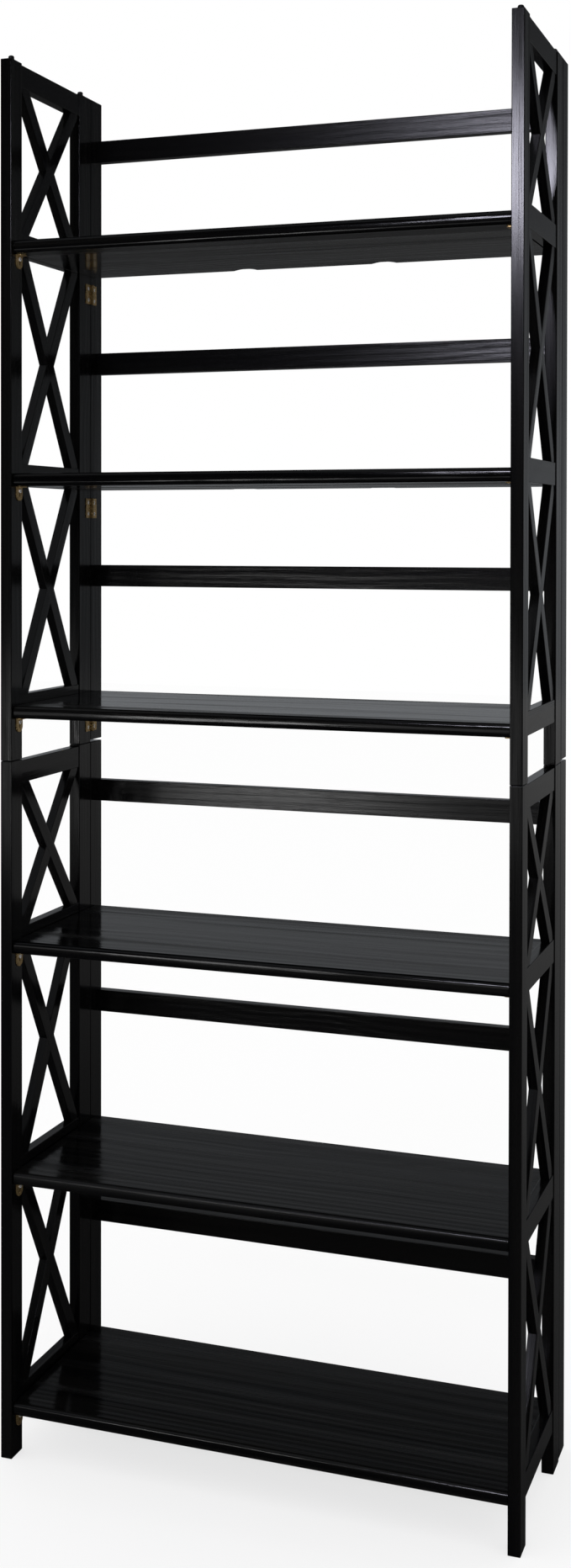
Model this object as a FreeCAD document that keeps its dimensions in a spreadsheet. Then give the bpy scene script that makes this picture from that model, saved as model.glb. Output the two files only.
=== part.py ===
import FreeCAD, Part
import Sketcher
import os
from types import SimpleNamespace

# Folding bookcase: two identical units, the upper one standing on the lower.
# Sizes are in millimetres. X runs from left to right, Y from front to back and Z up.
# The origin lies on the floor, under the middle of the bookcase.

# Driving sizes: name, value and what it measures
SIZES = (
    ("unit_width", 698, "outside width of a unit"),
    ("unit_depth", 292, "depth from the front posts to the back of the stiles"),
    ("unit_height", 930, "height of the posts"),
    ("unit_gap", 0.3, "paint-thick gap between the two stacked units"),
    ("arris_radius", 1, "eased corners of the posts and stiles"),
    ("post_thickness", 16, "thickness of posts and stiles, seen from the front"),
    ("front_post_width", 32, "width of a front post, seen from the side"),
    ("rear_post_width", 38, "width of a rear post, seen from the side"),
    ("stile_width", 38, "width of a back stile, seen from the side"),
    ("hinge_joint_gap", 1, "gap between a rear post and its stile"),
    ("stile_foot_clearance", 3, "height of the stile's end above the feet"),
    ("side_rail_thickness", 14, "thickness of the rails of a side frame"),
    ("rail_arris_radius", 0.8, "eased edges of all rails"),
    ("top_rail_height", 30, "height of the top rail of a side frame"),
    ("top_rail_drop", 2, "top rail below the post tops"),
    ("shelf_rail_height", 30, "height of a shelf rail"),
    ("shelf_rail_rise", 13, "top of a shelf rail above the shelf's surface"),
    ("slat_width", 20, "width of a slat of the X braces"),
    ("slat_thickness", 12, "thickness of a slat"),
    ("lowest_shelf_surface", 73.5, "top of the lowest shelf above the feet"),
    ("top_shelf_drop", 239.5, "top of the highest shelf below the post tops"),
    ("shelf_thickness", 17, "thickness of a shelf and of its rounded front edge"),
    ("shelf_front_setback", 4, "shelf behind the front of the posts"),
    ("shelf_end_clearance", 1, "gap between a shelf's end and the side frame"),
    ("shelf_rear_overhang", 9, "shelf behind the middle of its pivot pins"),
    ("shelf_nose_flat", 8, "flat left between the two round corners of the front edge"),
    ("shelf_rear_radius", 2, "eased rear edges of a shelf"),
    ("notch_offset", 101, "middle of a rear notch from the middle of the shelf"),
    ("notch_width", 36, "width of a rear notch"),
    ("notch_rise", 2.6, "height of a rear notch in the lower edge"),
    ("notch_reach", 16, "depth of a rear notch from the rear edge"),
    ("back_rail_thickness", 16, "thickness of a back rail"),
    ("back_rail_height", 31, "height of a back rail"),
    ("back_rail_rise", 183, "top of a back rail above the shelf below it"),
    ("pivot_inset", 8.5, "middle of a pivot pin behind the stile's front edge"),
    ("pivot_radius", 3, "radius of a shelf's pivot pin"),
    ("pivot_seat", 10, "depth of a pivot pin in the stile"),
    ("pivot_reach", 14, "depth of a pivot pin in the shelf"),
    ("pivot_play", 0.08, "radial running clearance of a shelf on its pivot pin"),
    ("pin_chamfer", 0.8, "chamfered ends of pivot pins and dowels"),
    ("dowel_radius", 3, "radius of a dowel"),
    ("dowel_length", 20, "length of a dowel, half in each piece"),
    ("dowel_pitch", 14, "distance between the two dowels of a joint"),
    ("bore_clearance", 0.05, "radial clearance of dowels, screws and fixed pins"),
    ("bore_end_clearance", 0.5, "room beyond the end of a dowel, pin or screw"),
    ("hinge_height", 28, "height of a hinge"),
    ("hinge_drop", 12, "top of a hinge below the shelf above it"),
    ("leaf_width", 18, "width of a hinge leaf from the middle of its pin"),
    ("leaf_thickness", 1.2, "thickness of a hinge leaf"),
    ("knuckle_radius", 2.5, "outside radius of the hinge knuckle"),
    ("knuckle_gap", 0.2, "gap between neighbouring knuckles and leaves"),
    ("hinge_pin_radius", 1.2, "radius of a hinge pin"),
    ("hinge_pin_cap", 0.8, "height of the cap at each end of a hinge pin"),
    ("hinge_cap_radius", 2, "radius of the cap at each end of a hinge pin"),
    ("hinge_screw_offset", 10, "middle of a hinge screw from the hinge pin"),
    ("hinge_screw_pitch", 16, "distance between the two screws of a leaf"),
    ("screw_radius", 1.4, "radius of a screw's shank"),
    ("screw_length", 12, "length of a screw from the wood's surface"),
    ("screw_point", 3, "length of a screw's point"),
    ("flat_head_radius", 2.7, "radius of a countersunk screw head"),
    ("round_head_radius", 2.9, "radius of a round screw head"),
    ("round_head_height", 1.8, "height of a round screw head"),
    ("round_head_rounding", 1.4, "rounding of a round screw head"),
    ("recess_length", 3.2, "length of each slot of a screw's cross recess"),
    ("recess_width", 0.7, "width of each slot of a screw's cross recess"),
    ("recess_depth", 0.8, "depth of a screw's cross recess"),
    ("support_width", 17, "width of a shelf support"),
    ("support_height", 19, "height of a shelf support's leg"),
    ("support_reach", 9, "reach of a shelf support's flange from the post"),
    ("support_thickness", 1.5, "thickness of a shelf support"),
    ("support_bend_radius", 1.2, "outside radius of a shelf support's bend"),
    ("support_corner_radius", 3, "round corners of a shelf support's flange"),
    ("support_end_flat", 1, "flat left in the middle of the leg's oval end"),
    ("support_edge_margin", 1.5, "shelf support in front of the post's rear edge"),
    ("support_screw_drop", 6, "middle of a support's screw below its flange"),
    ("support_slot_radius", 1.6, "half the width of a shelf support's slot"),
    ("support_slot_travel", 6, "length of the slot between its end centres"),
    ("rest_gap", 0.3, "gap between a shelf and its supports"),
    ("stack_pin_radius", 4, "radius of a stacking pin's head"),
    ("stack_pin_proud", 7, "height of a stacking pin's head above the post"),
    ("stack_pin_round", 2.5, "rounding of a stacking pin's top"),
    ("stack_shank_radius", 3, "radius of a stacking pin's shank in the post"),
    ("stack_shank_depth", 12, "depth of a stacking pin's shank in the post"),
    ("socket_radius", 4.5, "radius of the socket under a foot"),
    ("socket_depth", 10, "depth of the socket under a foot"),
    ("cut_overrun", 5, "how far a cut runs past a face"),
)

# The three shelves of a unit, from below, and the turns that lay a piece down from the Z axis
ROWS = ("bottom", "middle", "top")
LEVELS = range(len(ROWS))
TURNS = {
    "x": FreeCAD.Rotation(FreeCAD.Vector(0, 1, 0), 90),
    "-x": FreeCAD.Rotation(FreeCAD.Vector(0, 1, 0), -90),
    "y": FreeCAD.Rotation(FreeCAD.Vector(1, 0, 0), -90),
    "z": FreeCAD.Rotation(),
}


class Formula:
    """A sum over the cells of the sheet, kept as the text of an expression."""

    def __init__(self, text):
        self.text = text

    def __add__(self, other):
        return Formula(f"({self.text} + {text_of(other)})")

    def __sub__(self, other):
        return Formula(f"({self.text} - {text_of(other)})")

    def __mul__(self, other):
        return Formula(f"({self.text} * {text_of(other)})")

    def __truediv__(self, other):
        return Formula(f"({self.text} / {text_of(other)})")

    def __neg__(self):
        return Formula(f"(0 - {self.text})")


ZERO = Formula("0")


def text_of(formula):
    """The expression text of a formula or a plain number."""
    return formula.text if isinstance(formula, Formula) else repr(formula)


def build_sheet():
    """Fill the sheet with the driving sizes and return a formula for each of them."""
    for row, (alias, number, meaning) in enumerate(SIZES, start=1):
        sheet.set(f"A{row}", meaning)
        sheet.set(f"B{row}", str(number))
        sheet.setAlias(f"B{row}", alias)
    doc.recompute()
    return SimpleNamespace(**{alias: Formula(f"Sizes.{alias}") for alias, number, meaning in SIZES})


def value(formula):
    """The number that a formula gives at the moment."""
    return float(sheet.evalExpression(text_of(formula)))


def centred(length):
    """The pair of formulas that spans a length about zero."""
    return (-length / 2, length / 2)


def middle(pair):
    """The middle of a lower and an upper formula."""
    return (pair[0] + pair[1]) / 2


def square_root(formula):
    """The square root of a formula."""
    return Formula(f"sqrt({text_of(formula)})")


doc = FreeCAD.newDocument("FoldingBookcase")
sheet = doc.addObject("Spreadsheet::Sheet", "Sizes")
s = build_sheet()


# Places that several pieces share, in the frame of one unit standing at Z = 0
FRONT = -s.unit_depth / 2
BACK = s.unit_depth / 2
FRONT_POST_Y = (FRONT, FRONT + s.front_post_width)
STILE_Y = (BACK - s.stile_width, BACK)
REAR_POST_Y = (STILE_Y[0] - s.hinge_joint_gap - s.rear_post_width, STILE_Y[0] - s.hinge_joint_gap)
BAY_Y = (FRONT_POST_Y[1], REAR_POST_Y[0])
BACK_RAIL_Y = (BACK - s.back_rail_thickness, BACK)
HINGE_Y = STILE_Y[0] - s.hinge_joint_gap / 2
PIVOT_Y = STILE_Y[0] + s.pivot_inset
SHELF_Y = (FRONT + s.shelf_front_setback, PIVOT_Y + s.shelf_rear_overhang)

# The left side frame is modelled; the right one is its mirror image
OUTER_X = -s.unit_width / 2
INNER_X = OUTER_X + s.post_thickness
SIDE_MIDDLE_X = OUTER_X + s.post_thickness / 2
HINGE_X = INNER_X + s.knuckle_radius
SHELF_END_X = INNER_X + s.shelf_end_clearance
TOP_RAIL_Z = (s.unit_height - s.top_rail_drop - s.top_rail_height, s.unit_height - s.top_rail_drop)
SUPPORT_Y = FRONT_POST_Y[1] - s.support_edge_margin - s.support_width / 2


def shelf_top(row):
    """Height of the upper face of a shelf, each as far above the one below it as the next."""
    spacing = (s.unit_height - s.lowest_shelf_surface - s.top_shelf_drop) / LEVELS[-1]
    return s.lowest_shelf_surface + spacing * row


def shelf_underside(row):
    """Height of the lower face of a shelf."""
    return shelf_top(row) - s.shelf_thickness


def pivot_height(row):
    """Height of the pivot pins of a shelf, in the middle of its thickness."""
    return shelf_top(row) - s.shelf_thickness / 2


def shelf_rail_z(row):
    """Lower and upper height of a shelf rail."""
    upper = shelf_top(row) + s.shelf_rail_rise
    return (upper - s.shelf_rail_height, upper)


def back_rail_z(row):
    """Lower and upper height of a back rail."""
    upper = shelf_top(row) + s.back_rail_rise
    return (upper - s.back_rail_height, upper)


def bay_z(row):
    """Lower and upper height of the open bay above a shelf rail."""
    upper = shelf_rail_z(row + 1)[0] if row + 1 < len(ROWS) else TOP_RAIL_Z[0]
    return (shelf_rail_z(row)[1], upper)


def hinge_foot(row):
    """Height of the lower end of a hinge."""
    return shelf_underside(row) - s.hinge_drop - s.hinge_height


def support_top(row):
    """Height of the flange of a shelf support."""
    return shelf_underside(row) - s.rest_gap


# Making and placing objects of the document
def make(kind, name):
    """Add an object whose label is its name."""
    made = doc.addObject(kind, name)
    made.Label = name
    return made


def bind(target, **formulas):
    """Bind properties of an object or feature to formulas."""
    for name, formula in formulas.items():
        target.setExpression(name, text_of(formula))


def move(target, x=None, y=None, z=None, kind="Placement"):
    """Bind the place of an object to formulas."""
    for axis, formula in zip("xyz", (x, y, z)):
        if formula is not None:
            target.setExpression(f"{kind}.Base.{axis}", text_of(formula))


def box(name, x, y, z):
    """A box between the lower and upper formula of each axis."""
    made = make("Part::Box", name)
    bind(made, Length=x[1] - x[0], Width=y[1] - y[0], Height=z[1] - z[0])
    move(made, x[0], y[0], z[0])
    return made


def rod(name, axis, radius, ends, across):
    """A cylinder along an axis, from one end to the other, at its two other coordinates."""
    made = make("Part::Cylinder", name)
    made.Placement.Rotation = TURNS[axis]
    bind(made, Radius=radius, Height=ends[1] - ends[0])
    place = dict(zip("xyz".replace(axis, ""), across))
    place[axis] = ends[0]
    move(made, **place)
    return made


def group(name, pieces):
    """Several solids kept as one object."""
    made = make("Part::Compound", name)
    made.Links = pieces
    return made


def cut(name, base, tool):
    """One object less another."""
    made = make("Part::Cut", name)
    made.Base = base
    made.Tool = tool
    return made


def fuse(name, pieces):
    """Several overlapping shapes joined into one solid."""
    made = make("Part::MultiFuse", name)
    made.Shapes = pieces
    made.Refine = True
    return made


def mirror(name, source):
    """The image of an object on the other side of the bookcase."""
    made = make("Part::Mirroring", name)
    made.Source = source
    made.Normal = (1, 0, 0)
    return made


def both_sides(name, left):
    """A left piece or set together with its mirror image."""
    return group(name, [left, mirror(f"{name}_mirrored", left)])


def copies(name, master, places, axis="z"):
    """The same piece at several places, laid along an axis and kept as one object."""
    links = []
    for number, place in enumerate(places, start=1):
        link = make("App::Link", f"{name}_{number}")
        link.LinkedObject = master
        link.LinkPlacement = FreeCAD.Placement(FreeCAD.Vector(), TURNS[axis])
        move(link, *place, kind="LinkPlacement")
        links.append(link)
    return group(name, links)


# Bodies made of sketches
def body_at(name, x=ZERO, y=ZERO, z=ZERO):
    """An empty body at a place."""
    made = make("PartDesign::Body", name)
    move(made, x, y, z)
    return made


def sketch_on(body, role, name, offset=ZERO):
    """A sketch on a plane of the body's own origin, moved along the plane's normal."""
    sketch = body.newObject("Sketcher::SketchObject", f"{body.Name}_{name}")
    plane = next(feature for feature in body.Origin.OriginFeatures if feature.Role == role)
    sketch.AttachmentSupport = [(plane, "")]
    sketch.MapMode = "FlatFace"
    sketch.setExpression("AttachmentOffset.Base.z", text_of(offset))
    return sketch


def hold(sketch, line, name, kind, axis, formula):
    """Hold the start of a line at a named distance from the sketch's origin, or on its axis."""
    if formula is ZERO:
        sketch.addConstraint(Sketcher.Constraint("PointOnObject", line, 1, axis))
        return
    index = sketch.addConstraint(Sketcher.Constraint(kind, -1, 1, line, 1, value(formula)))
    sketch.renameConstraint(index, name)
    sketch.setExpression(f"Constraints.{name}", text_of(formula))


def polygon(sketch, corners):
    """Draw a closed outline of straight lines, each corner held by its two formulas."""
    points = [FreeCAD.Vector(value(across), value(up), 0) for across, up in corners]
    lines = [
        sketch.addGeometry(Part.LineSegment(start, end), False)
        for start, end in zip(points, points[1:] + points[:1])
    ]
    for number, (across, up) in enumerate(corners):
        line = lines[number]
        sketch.addConstraint(Sketcher.Constraint("Coincident", lines[number - 1], 2, line, 1))
        hold(sketch, line, f"across{number}", "DistanceX", -2, across)
        hold(sketch, line, f"up{number}", "DistanceY", -1, up)


def rectangle(sketch, across, up):
    """Draw a rectangle between two pairs of formulas."""
    polygon(sketch, [(across[0], up[0]), (across[1], up[0]), (across[1], up[1]), (across[0], up[1])])


def pad(body, sketch, length, midplane=False):
    """Raise a sketch to a solid, on one side or on both sides of its plane."""
    made = body.newObject("PartDesign::Pad", f"{sketch.Name}_pad")
    made.Profile = sketch
    made.Midplane = midplane
    bind(made, Length=length)


def pocket(body, sketch, length, forward):
    """Sink a sketch into a solid, along the sketch's normal or against it."""
    made = body.newObject("PartDesign::Pocket", f"{sketch.Name}_pocket")
    made.Profile = sketch
    made.Reversed = forward
    bind(made, Length=length)


def runs_along(axis, bounds):
    """Whether an edge with these bounds runs along an axis."""
    lengths = {"x": bounds.XLength, "y": bounds.YLength, "z": bounds.ZLength}
    return lengths.pop(axis) > sum(lengths.values())


def ease(body, wanted, radius, name="round"):
    """Round those edges of a body's last feature whose bounds pass a test."""
    doc.recompute()
    base = body.Tip
    edges = enumerate(base.Shape.Edges, start=1)
    picked = [f"Edge{number}" for number, edge in edges if wanted(edge.BoundBox)]
    made = body.newObject("PartDesign::Fillet", f"{body.Name}_{name}")
    made.Base = (base, picked)
    bind(made, Radius=radius)


def turned(name, profile):
    """A body turned about Z from a profile of radius and height."""
    body = body_at(name)
    sketch = sketch_on(body, "XZ_Plane", "profile")
    polygon(sketch, profile)
    made = body.newObject("PartDesign::Revolution", f"{name}_turn")
    made.Profile = sketch
    made.ReferenceAxis = (sketch, ["V_Axis"])
    return body


# Bores of the left side frame and its stile: each serves the pieces on both sides of a joint
def dowel_levels(rail_z):
    """Heights of the two dowels in the end of a rail."""
    return [middle(rail_z) - s.dowel_pitch / 2, middle(rail_z) + s.dowel_pitch / 2]


def side_rail_levels():
    """Heights of every dowel of a side frame."""
    rails = [shelf_rail_z(row) for row in LEVELS] + [TOP_RAIL_Z]
    return [level for rail_z in rails for level in dowel_levels(rail_z)]


def back_rail_levels(row):
    """Heights of the dowels in one end of a back rail."""
    return dowel_levels(back_rail_z(row))


def leaf_screw_levels():
    """Heights of the two screws of a leaf above its lower end."""
    return [s.hinge_height / 2 - s.hinge_screw_pitch / 2, s.hinge_height / 2 + s.hinge_screw_pitch / 2]


def leaf_screw_places(side):
    """Places of the screws of the post leaves (side -1) or the stile leaves (side 1)."""
    y = HINGE_Y + s.hinge_screw_offset * side
    heights = [hinge_foot(row) + level for row in LEVELS for level in leaf_screw_levels()]
    return [(INNER_X + s.leaf_thickness, y, height) for height in heights]


def support_screw_places():
    """Places of the screws of the shelf supports."""
    x = INNER_X + s.support_thickness
    return [(x, SUPPORT_Y, support_top(row) - s.support_screw_drop) for row in LEVELS]


def screw_bores(name, places):
    """Pilot bores that run from the inner face into the wood."""
    ends = (INNER_X - s.screw_length - s.bore_end_clearance, INNER_X + s.cut_overrun)
    radius = s.screw_radius + s.bore_clearance
    return [rod(f"{name}_{i}", "x", radius, ends, (y, z)) for i, (x, y, z) in enumerate(places)]


def dowel_span(joint):
    """Ends of the bore of a dowel that crosses a joint."""
    reach = s.dowel_length / 2 + s.bore_end_clearance
    return (joint - reach, joint + reach)


def side_dowel_bores(name, joint):
    """Bores across one joint plane between a post and the rails of the side frame."""
    radius = s.dowel_radius + s.bore_clearance
    return [
        rod(f"{name}_{i}", "y", radius, dowel_span(joint), (SIDE_MIDDLE_X, level))
        for i, level in enumerate(side_rail_levels())
    ]


def back_dowel_bores(name, row):
    """Bores across the joint between the left stile and a back rail."""
    radius = s.dowel_radius + s.bore_clearance
    return [
        rod(f"{name}_{i}", "x", radius, dowel_span(INNER_X), (middle(BACK_RAIL_Y), level))
        for i, level in enumerate(back_rail_levels(row))
    ]


def stacking_bores(name, y):
    """The seat of a stacking pin in a post's top and the socket under its foot."""
    seat = (s.unit_height - s.stack_shank_depth - s.bore_end_clearance, s.unit_height + s.cut_overrun)
    return [
        rod(f"{name}_seat", "z", s.stack_shank_radius + s.bore_clearance, seat, (SIDE_MIDDLE_X, y)),
        rod(f"{name}_socket", "z", s.socket_radius, (-s.cut_overrun, s.socket_depth), (SIDE_MIDDLE_X, y)),
    ]


def pivot_bore(name, row, ends, play):
    """A bore for a shelf's pivot pin."""
    return rod(name, "x", s.pivot_radius + play, ends, (PIVOT_Y, pivot_height(row)))


# Wooden pieces of the left side
def upright(name, y, foot, bores):
    """A post or stile with eased corners, from its foot to the top of the unit, and its bores."""
    body = body_at(f"{name}_blank", SIDE_MIDDLE_X, middle(y), foot)
    section = sketch_on(body, "XY_Plane", "section")
    rectangle(section, centred(s.post_thickness), centred(y[1] - y[0]))
    pad(body, section, s.unit_height - foot)
    ease(body, lambda edge: True, s.arris_radius)
    return cut(name, body, group(f"{name}_bores", bores))


def left_front_post():
    """The front post, which carries the shelf supports."""
    bores = side_dowel_bores("front_dowel_bore", BAY_Y[0])
    bores += stacking_bores("front_stack", middle(FRONT_POST_Y))
    bores += screw_bores("support_screw_bore", support_screw_places())
    return upright("left_front_post", FRONT_POST_Y, ZERO, bores)


def left_rear_post():
    """The rear post, which carries the post leaves of the hinges."""
    bores = side_dowel_bores("rear_dowel_bore", BAY_Y[1])
    bores += stacking_bores("rear_stack", middle(REAR_POST_Y))
    bores += screw_bores("post_leaf_screw_bore", leaf_screw_places(-1))
    return upright("left_rear_post", REAR_POST_Y, ZERO, bores)


def left_stile():
    """The back stile, which carries the back rails, the shelf pivots and the stile leaves."""
    bores = screw_bores("stile_leaf_screw_bore", leaf_screw_places(1))
    ends = (INNER_X - s.pivot_seat - s.bore_end_clearance, INNER_X + s.cut_overrun)
    for row, word in enumerate(ROWS):
        bores += back_dowel_bores(f"stile_{word}_dowel_bore", row)
        bores.append(pivot_bore(f"stile_{word}_pivot_bore", row, ends, s.bore_clearance))
    return upright("left_stile", STILE_Y, s.stile_foot_clearance, bores)


def side_rail_blank(name, rail_z):
    """A rail between the posts of the side frame, with eased long edges."""
    body = body_at(name, SIDE_MIDDLE_X, middle(BAY_Y), middle(rail_z))
    section = sketch_on(body, "XZ_Plane", "section")
    rectangle(section, centred(s.side_rail_thickness), centred(rail_z[1] - rail_z[0]))
    pad(body, section, BAY_Y[1] - BAY_Y[0], midplane=True)
    ease(body, lambda edge: runs_along("y", edge), s.rail_arris_radius)
    return body


def side_rail_bores(name):
    """The bores of both ends of all rails of the side frame."""
    front = side_dowel_bores(f"{name}_front_bore", BAY_Y[0])
    return group(f"{name}_bores", front + side_dowel_bores(f"{name}_rear_bore", BAY_Y[1]))


def left_top_rail():
    """The rail that joins the posts just below their tops."""
    return cut("left_top_rail", side_rail_blank("top_rail_blank", TOP_RAIL_Z), side_rail_bores("top_rail"))


def left_shelf_rails():
    """The three rails beside the shelves."""
    blanks = [side_rail_blank(f"{word}_rail_blank", shelf_rail_z(row)) for row, word in enumerate(ROWS)]
    return cut("left_shelf_rails", group("shelf_rail_blanks", blanks), side_rail_bores("shelf_rails"))


def slat_foot(across, up):
    """Length of a slat's end on the rail, for a bay that is so wide and so high."""
    width = s.slat_width
    edge = square_root(across * across + up * up - width * width)
    return width * (up * edge - width * across) / (up * up - width * width)


def slat_outline(row, rising):
    """Outline of a slat whose outer edges start in two opposite corners of a bay."""
    (low, high) = bay_z(row)
    (near, far) = BAY_Y if rising else BAY_Y[::-1]
    foot = slat_foot(BAY_Y[1] - BAY_Y[0], high - low) * (1 if rising else -1)
    return [(near, low), (near + foot, low), (far, high), (far - foot, high)]


def slat(name, row, rising):
    """One slat of an X brace, half lapped where it crosses the other."""
    body = body_at(name, SIDE_MIDDLE_X - s.slat_thickness / 2)
    outline = sketch_on(body, "YZ_Plane", "outline")
    polygon(outline, slat_outline(row, rising))
    pad(body, outline, s.slat_thickness)
    lap = sketch_on(body, "YZ_Plane", "lap", s.slat_thickness if rising else ZERO)
    polygon(lap, slat_outline(row, not rising))
    pocket(body, lap, s.slat_thickness / 2, forward=not rising)
    return body


def left_slats(name, rising):
    """The slats of all three bays that lean the same way."""
    return group(name, [slat(f"{name}_{word}", row, rising) for row, word in enumerate(ROWS)])


# Wooden pieces between the sides
def back_rail(row):
    """A rail between the two stiles."""
    name = f"{ROWS[row]}_back_rail"
    rail_z = back_rail_z(row)
    body = body_at(f"{name}_blank", ZERO, middle(BACK_RAIL_Y), middle(rail_z))
    section = sketch_on(body, "YZ_Plane", "section")
    rectangle(section, centred(s.back_rail_thickness), centred(rail_z[1] - rail_z[0]))
    pad(body, section, -INNER_X * 2, midplane=True)
    ease(body, lambda edge: runs_along("x", edge), s.rail_arris_radius)
    left_bores = group(f"{name}_left_bores", back_dowel_bores(f"{name}_bore", row))
    return cut(name, body, both_sides(f"{name}_bores", left_bores))


def notch_cutter(name, row):
    """The round cutter of the left rear notch, which meets the lower face over the notch's width."""
    radius = (s.notch_width * s.notch_width / 4 + s.notch_rise * s.notch_rise) / 2 / s.notch_rise
    height = shelf_underside(row) + s.notch_rise - radius
    ends = (SHELF_Y[1] - s.notch_reach, SHELF_Y[1] + s.cut_overrun)
    return rod(name, "y", radius, ends, (-s.notch_offset, height))


def shelf(row):
    """A shelf with a rounded front edge, pivot bores in its ends and two shallow rear notches."""
    name = f"{ROWS[row]}_shelf"
    body = body_at(f"{name}_blank", ZERO, middle(SHELF_Y), pivot_height(row))
    section = sketch_on(body, "YZ_Plane", "section")
    rectangle(section, centred(SHELF_Y[1] - SHELF_Y[0]), centred(s.shelf_thickness))
    pad(body, section, -SHELF_END_X * 2, midplane=True)
    nose_radius = (s.shelf_thickness - s.shelf_nose_flat) / 2
    ease(body, lambda edge: runs_along("x", edge) and edge.YMax < 0, nose_radius, "nose")
    ease(body, lambda edge: runs_along("x", edge) and edge.YMin > 0, s.shelf_rear_radius, "rear")
    ends = (SHELF_END_X - s.cut_overrun, SHELF_END_X + s.pivot_reach + s.bore_end_clearance)
    cutters = [pivot_bore(f"{name}_bore", row, ends, s.pivot_play), notch_cutter(f"{name}_notch", row)]
    return cut(name, body, both_sides(f"{name}_cutters", group(f"{name}_left_cutters", cutters)))


# Hinges: the pin of each stands on the Z axis
def countersink(name, y, z):
    """The hole for a flat screw in a leaf, from the wood's side to the wide mouth."""
    made = make("Part::Cone", name)
    made.Placement.Rotation = TURNS["x"]
    bind(made, Height=s.leaf_thickness)
    bind(made, Radius1=s.screw_radius + s.bore_clearance)
    bind(made, Radius2=s.flat_head_radius + s.bore_clearance)
    move(made, -s.knuckle_radius, y, z)
    return made


def hinge_leaf(name, side, knuckles):
    """A leaf that reaches forward (side -1) or back (side 1) and rolls its knuckles round the pin.

    The knuckles are numbered by the thirds of the hinge's height that they fill.
    """
    third = s.hinge_height / 3
    plate_x = (-s.knuckle_radius, s.leaf_thickness - s.knuckle_radius)
    root = s.knuckle_radius + s.knuckle_gap
    plate_y = (root, s.leaf_width) if side > 0 else (-s.leaf_width, -root)
    tongue_y = (ZERO, root) if side > 0 else (-root, ZERO)
    pieces = [box(f"{name}_plate", plate_x, plate_y, (ZERO, s.hinge_height))]
    for number in knuckles:
        level = (third * number + s.knuckle_gap / 2, third * (number + 1) - s.knuckle_gap / 2)
        pieces.append(box(f"{name}_tongue{number}", plate_x, tongue_y, level))
        pieces.append(rod(f"{name}_knuckle{number}", "z", s.knuckle_radius, level, (ZERO, ZERO)))
    height = (-s.cut_overrun, s.hinge_height + s.cut_overrun)
    holes = [rod(f"{name}_pin_hole", "z", s.hinge_pin_radius + s.bore_clearance, height, (ZERO, ZERO))]
    for i, level in enumerate(leaf_screw_levels()):
        holes.append(countersink(f"{name}_screw_hole_{i}", s.hinge_screw_offset * side, level))
    return cut(name, fuse(f"{name}_solid", pieces), group(f"{name}_holes", holes))


def hinge_pin():
    """The pin of a hinge, with a cap at each end."""
    top = s.hinge_height + s.hinge_pin_cap
    return turned("hinge_pin", [
        (ZERO, -s.hinge_pin_cap),
        (s.hinge_pin_radius, -s.hinge_pin_cap),
        (s.hinge_cap_radius, ZERO),
        (s.hinge_pin_radius, ZERO),
        (s.hinge_pin_radius, s.hinge_height),
        (s.hinge_cap_radius, s.hinge_height),
        (s.hinge_pin_radius, top),
        (ZERO, top),
    ])


def hinge_places():
    """Feet of the three hinges of the left side, on their pins."""
    return [(HINGE_X, HINGE_Y, hinge_foot(row)) for row in LEVELS]


# Screws, dowels and pins: each stands on the Z axis until it is laid in its bore
def cross_recess(name, face):
    """The cutter of a cross recess whose mouth lies at a height."""
    depth = (face - s.cut_overrun, face + s.recess_depth)
    along = box(f"{name}_along", centred(s.recess_length), centred(s.recess_width), depth)
    across = box(f"{name}_across", centred(s.recess_width), centred(s.recess_length), depth)
    return fuse(name, [along, across])


def flat_screw():
    """A countersunk screw, its head level with Z = 0 and its point upward."""
    tip = s.leaf_thickness + s.screw_length
    body = turned("flat_screw_body", [
        (ZERO, ZERO),
        (s.flat_head_radius, ZERO),
        (s.screw_radius, s.leaf_thickness),
        (s.screw_radius, tip - s.screw_point),
        (ZERO, tip),
    ])
    return cut("flat_screw", body, cross_recess("flat_screw_recess", ZERO))


def is_rim(bounds):
    """Whether an edge with these bounds is a level ring."""
    return bounds.XLength > bounds.ZLength and bounds.YLength > bounds.ZLength


def round_screw():
    """A round-headed screw, its head seated on Z = 0 and its point upward."""
    tip = s.support_thickness + s.screw_length
    crown = -s.round_head_height
    body = turned("round_screw_body", [
        (ZERO, crown),
        (s.round_head_radius, crown),
        (s.round_head_radius, ZERO),
        (s.screw_radius, ZERO),
        (s.screw_radius, tip - s.screw_point),
        (ZERO, tip),
    ])
    ease(body, lambda edge: is_rim(edge) and edge.ZMax < 0, s.round_head_rounding)
    return cut("round_screw", body, cross_recess("round_screw_recess", crown))


def plain_pin(name, radius, length):
    """A straight pin with chamfered ends, standing on Z = 0."""
    narrow = radius - s.pin_chamfer
    return turned(name, [
        (ZERO, ZERO),
        (narrow, ZERO),
        (radius, s.pin_chamfer),
        (radius, length - s.pin_chamfer),
        (narrow, length),
        (ZERO, length),
    ])


def stacking_pin():
    """A pin whose shank stands in a post's top and whose rounded head is seated on Z = 0."""
    body = turned("stacking_pin", [
        (ZERO, -s.stack_shank_depth),
        (s.stack_shank_radius, -s.stack_shank_depth),
        (s.stack_shank_radius, ZERO),
        (s.stack_pin_radius, ZERO),
        (s.stack_pin_radius, s.stack_pin_proud),
        (ZERO, s.stack_pin_proud),
    ])
    neck = value(s.stack_pin_proud / 2)
    ease(body, lambda edge: is_rim(edge) and edge.ZMin > neck, s.stack_pin_round)
    return body


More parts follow.
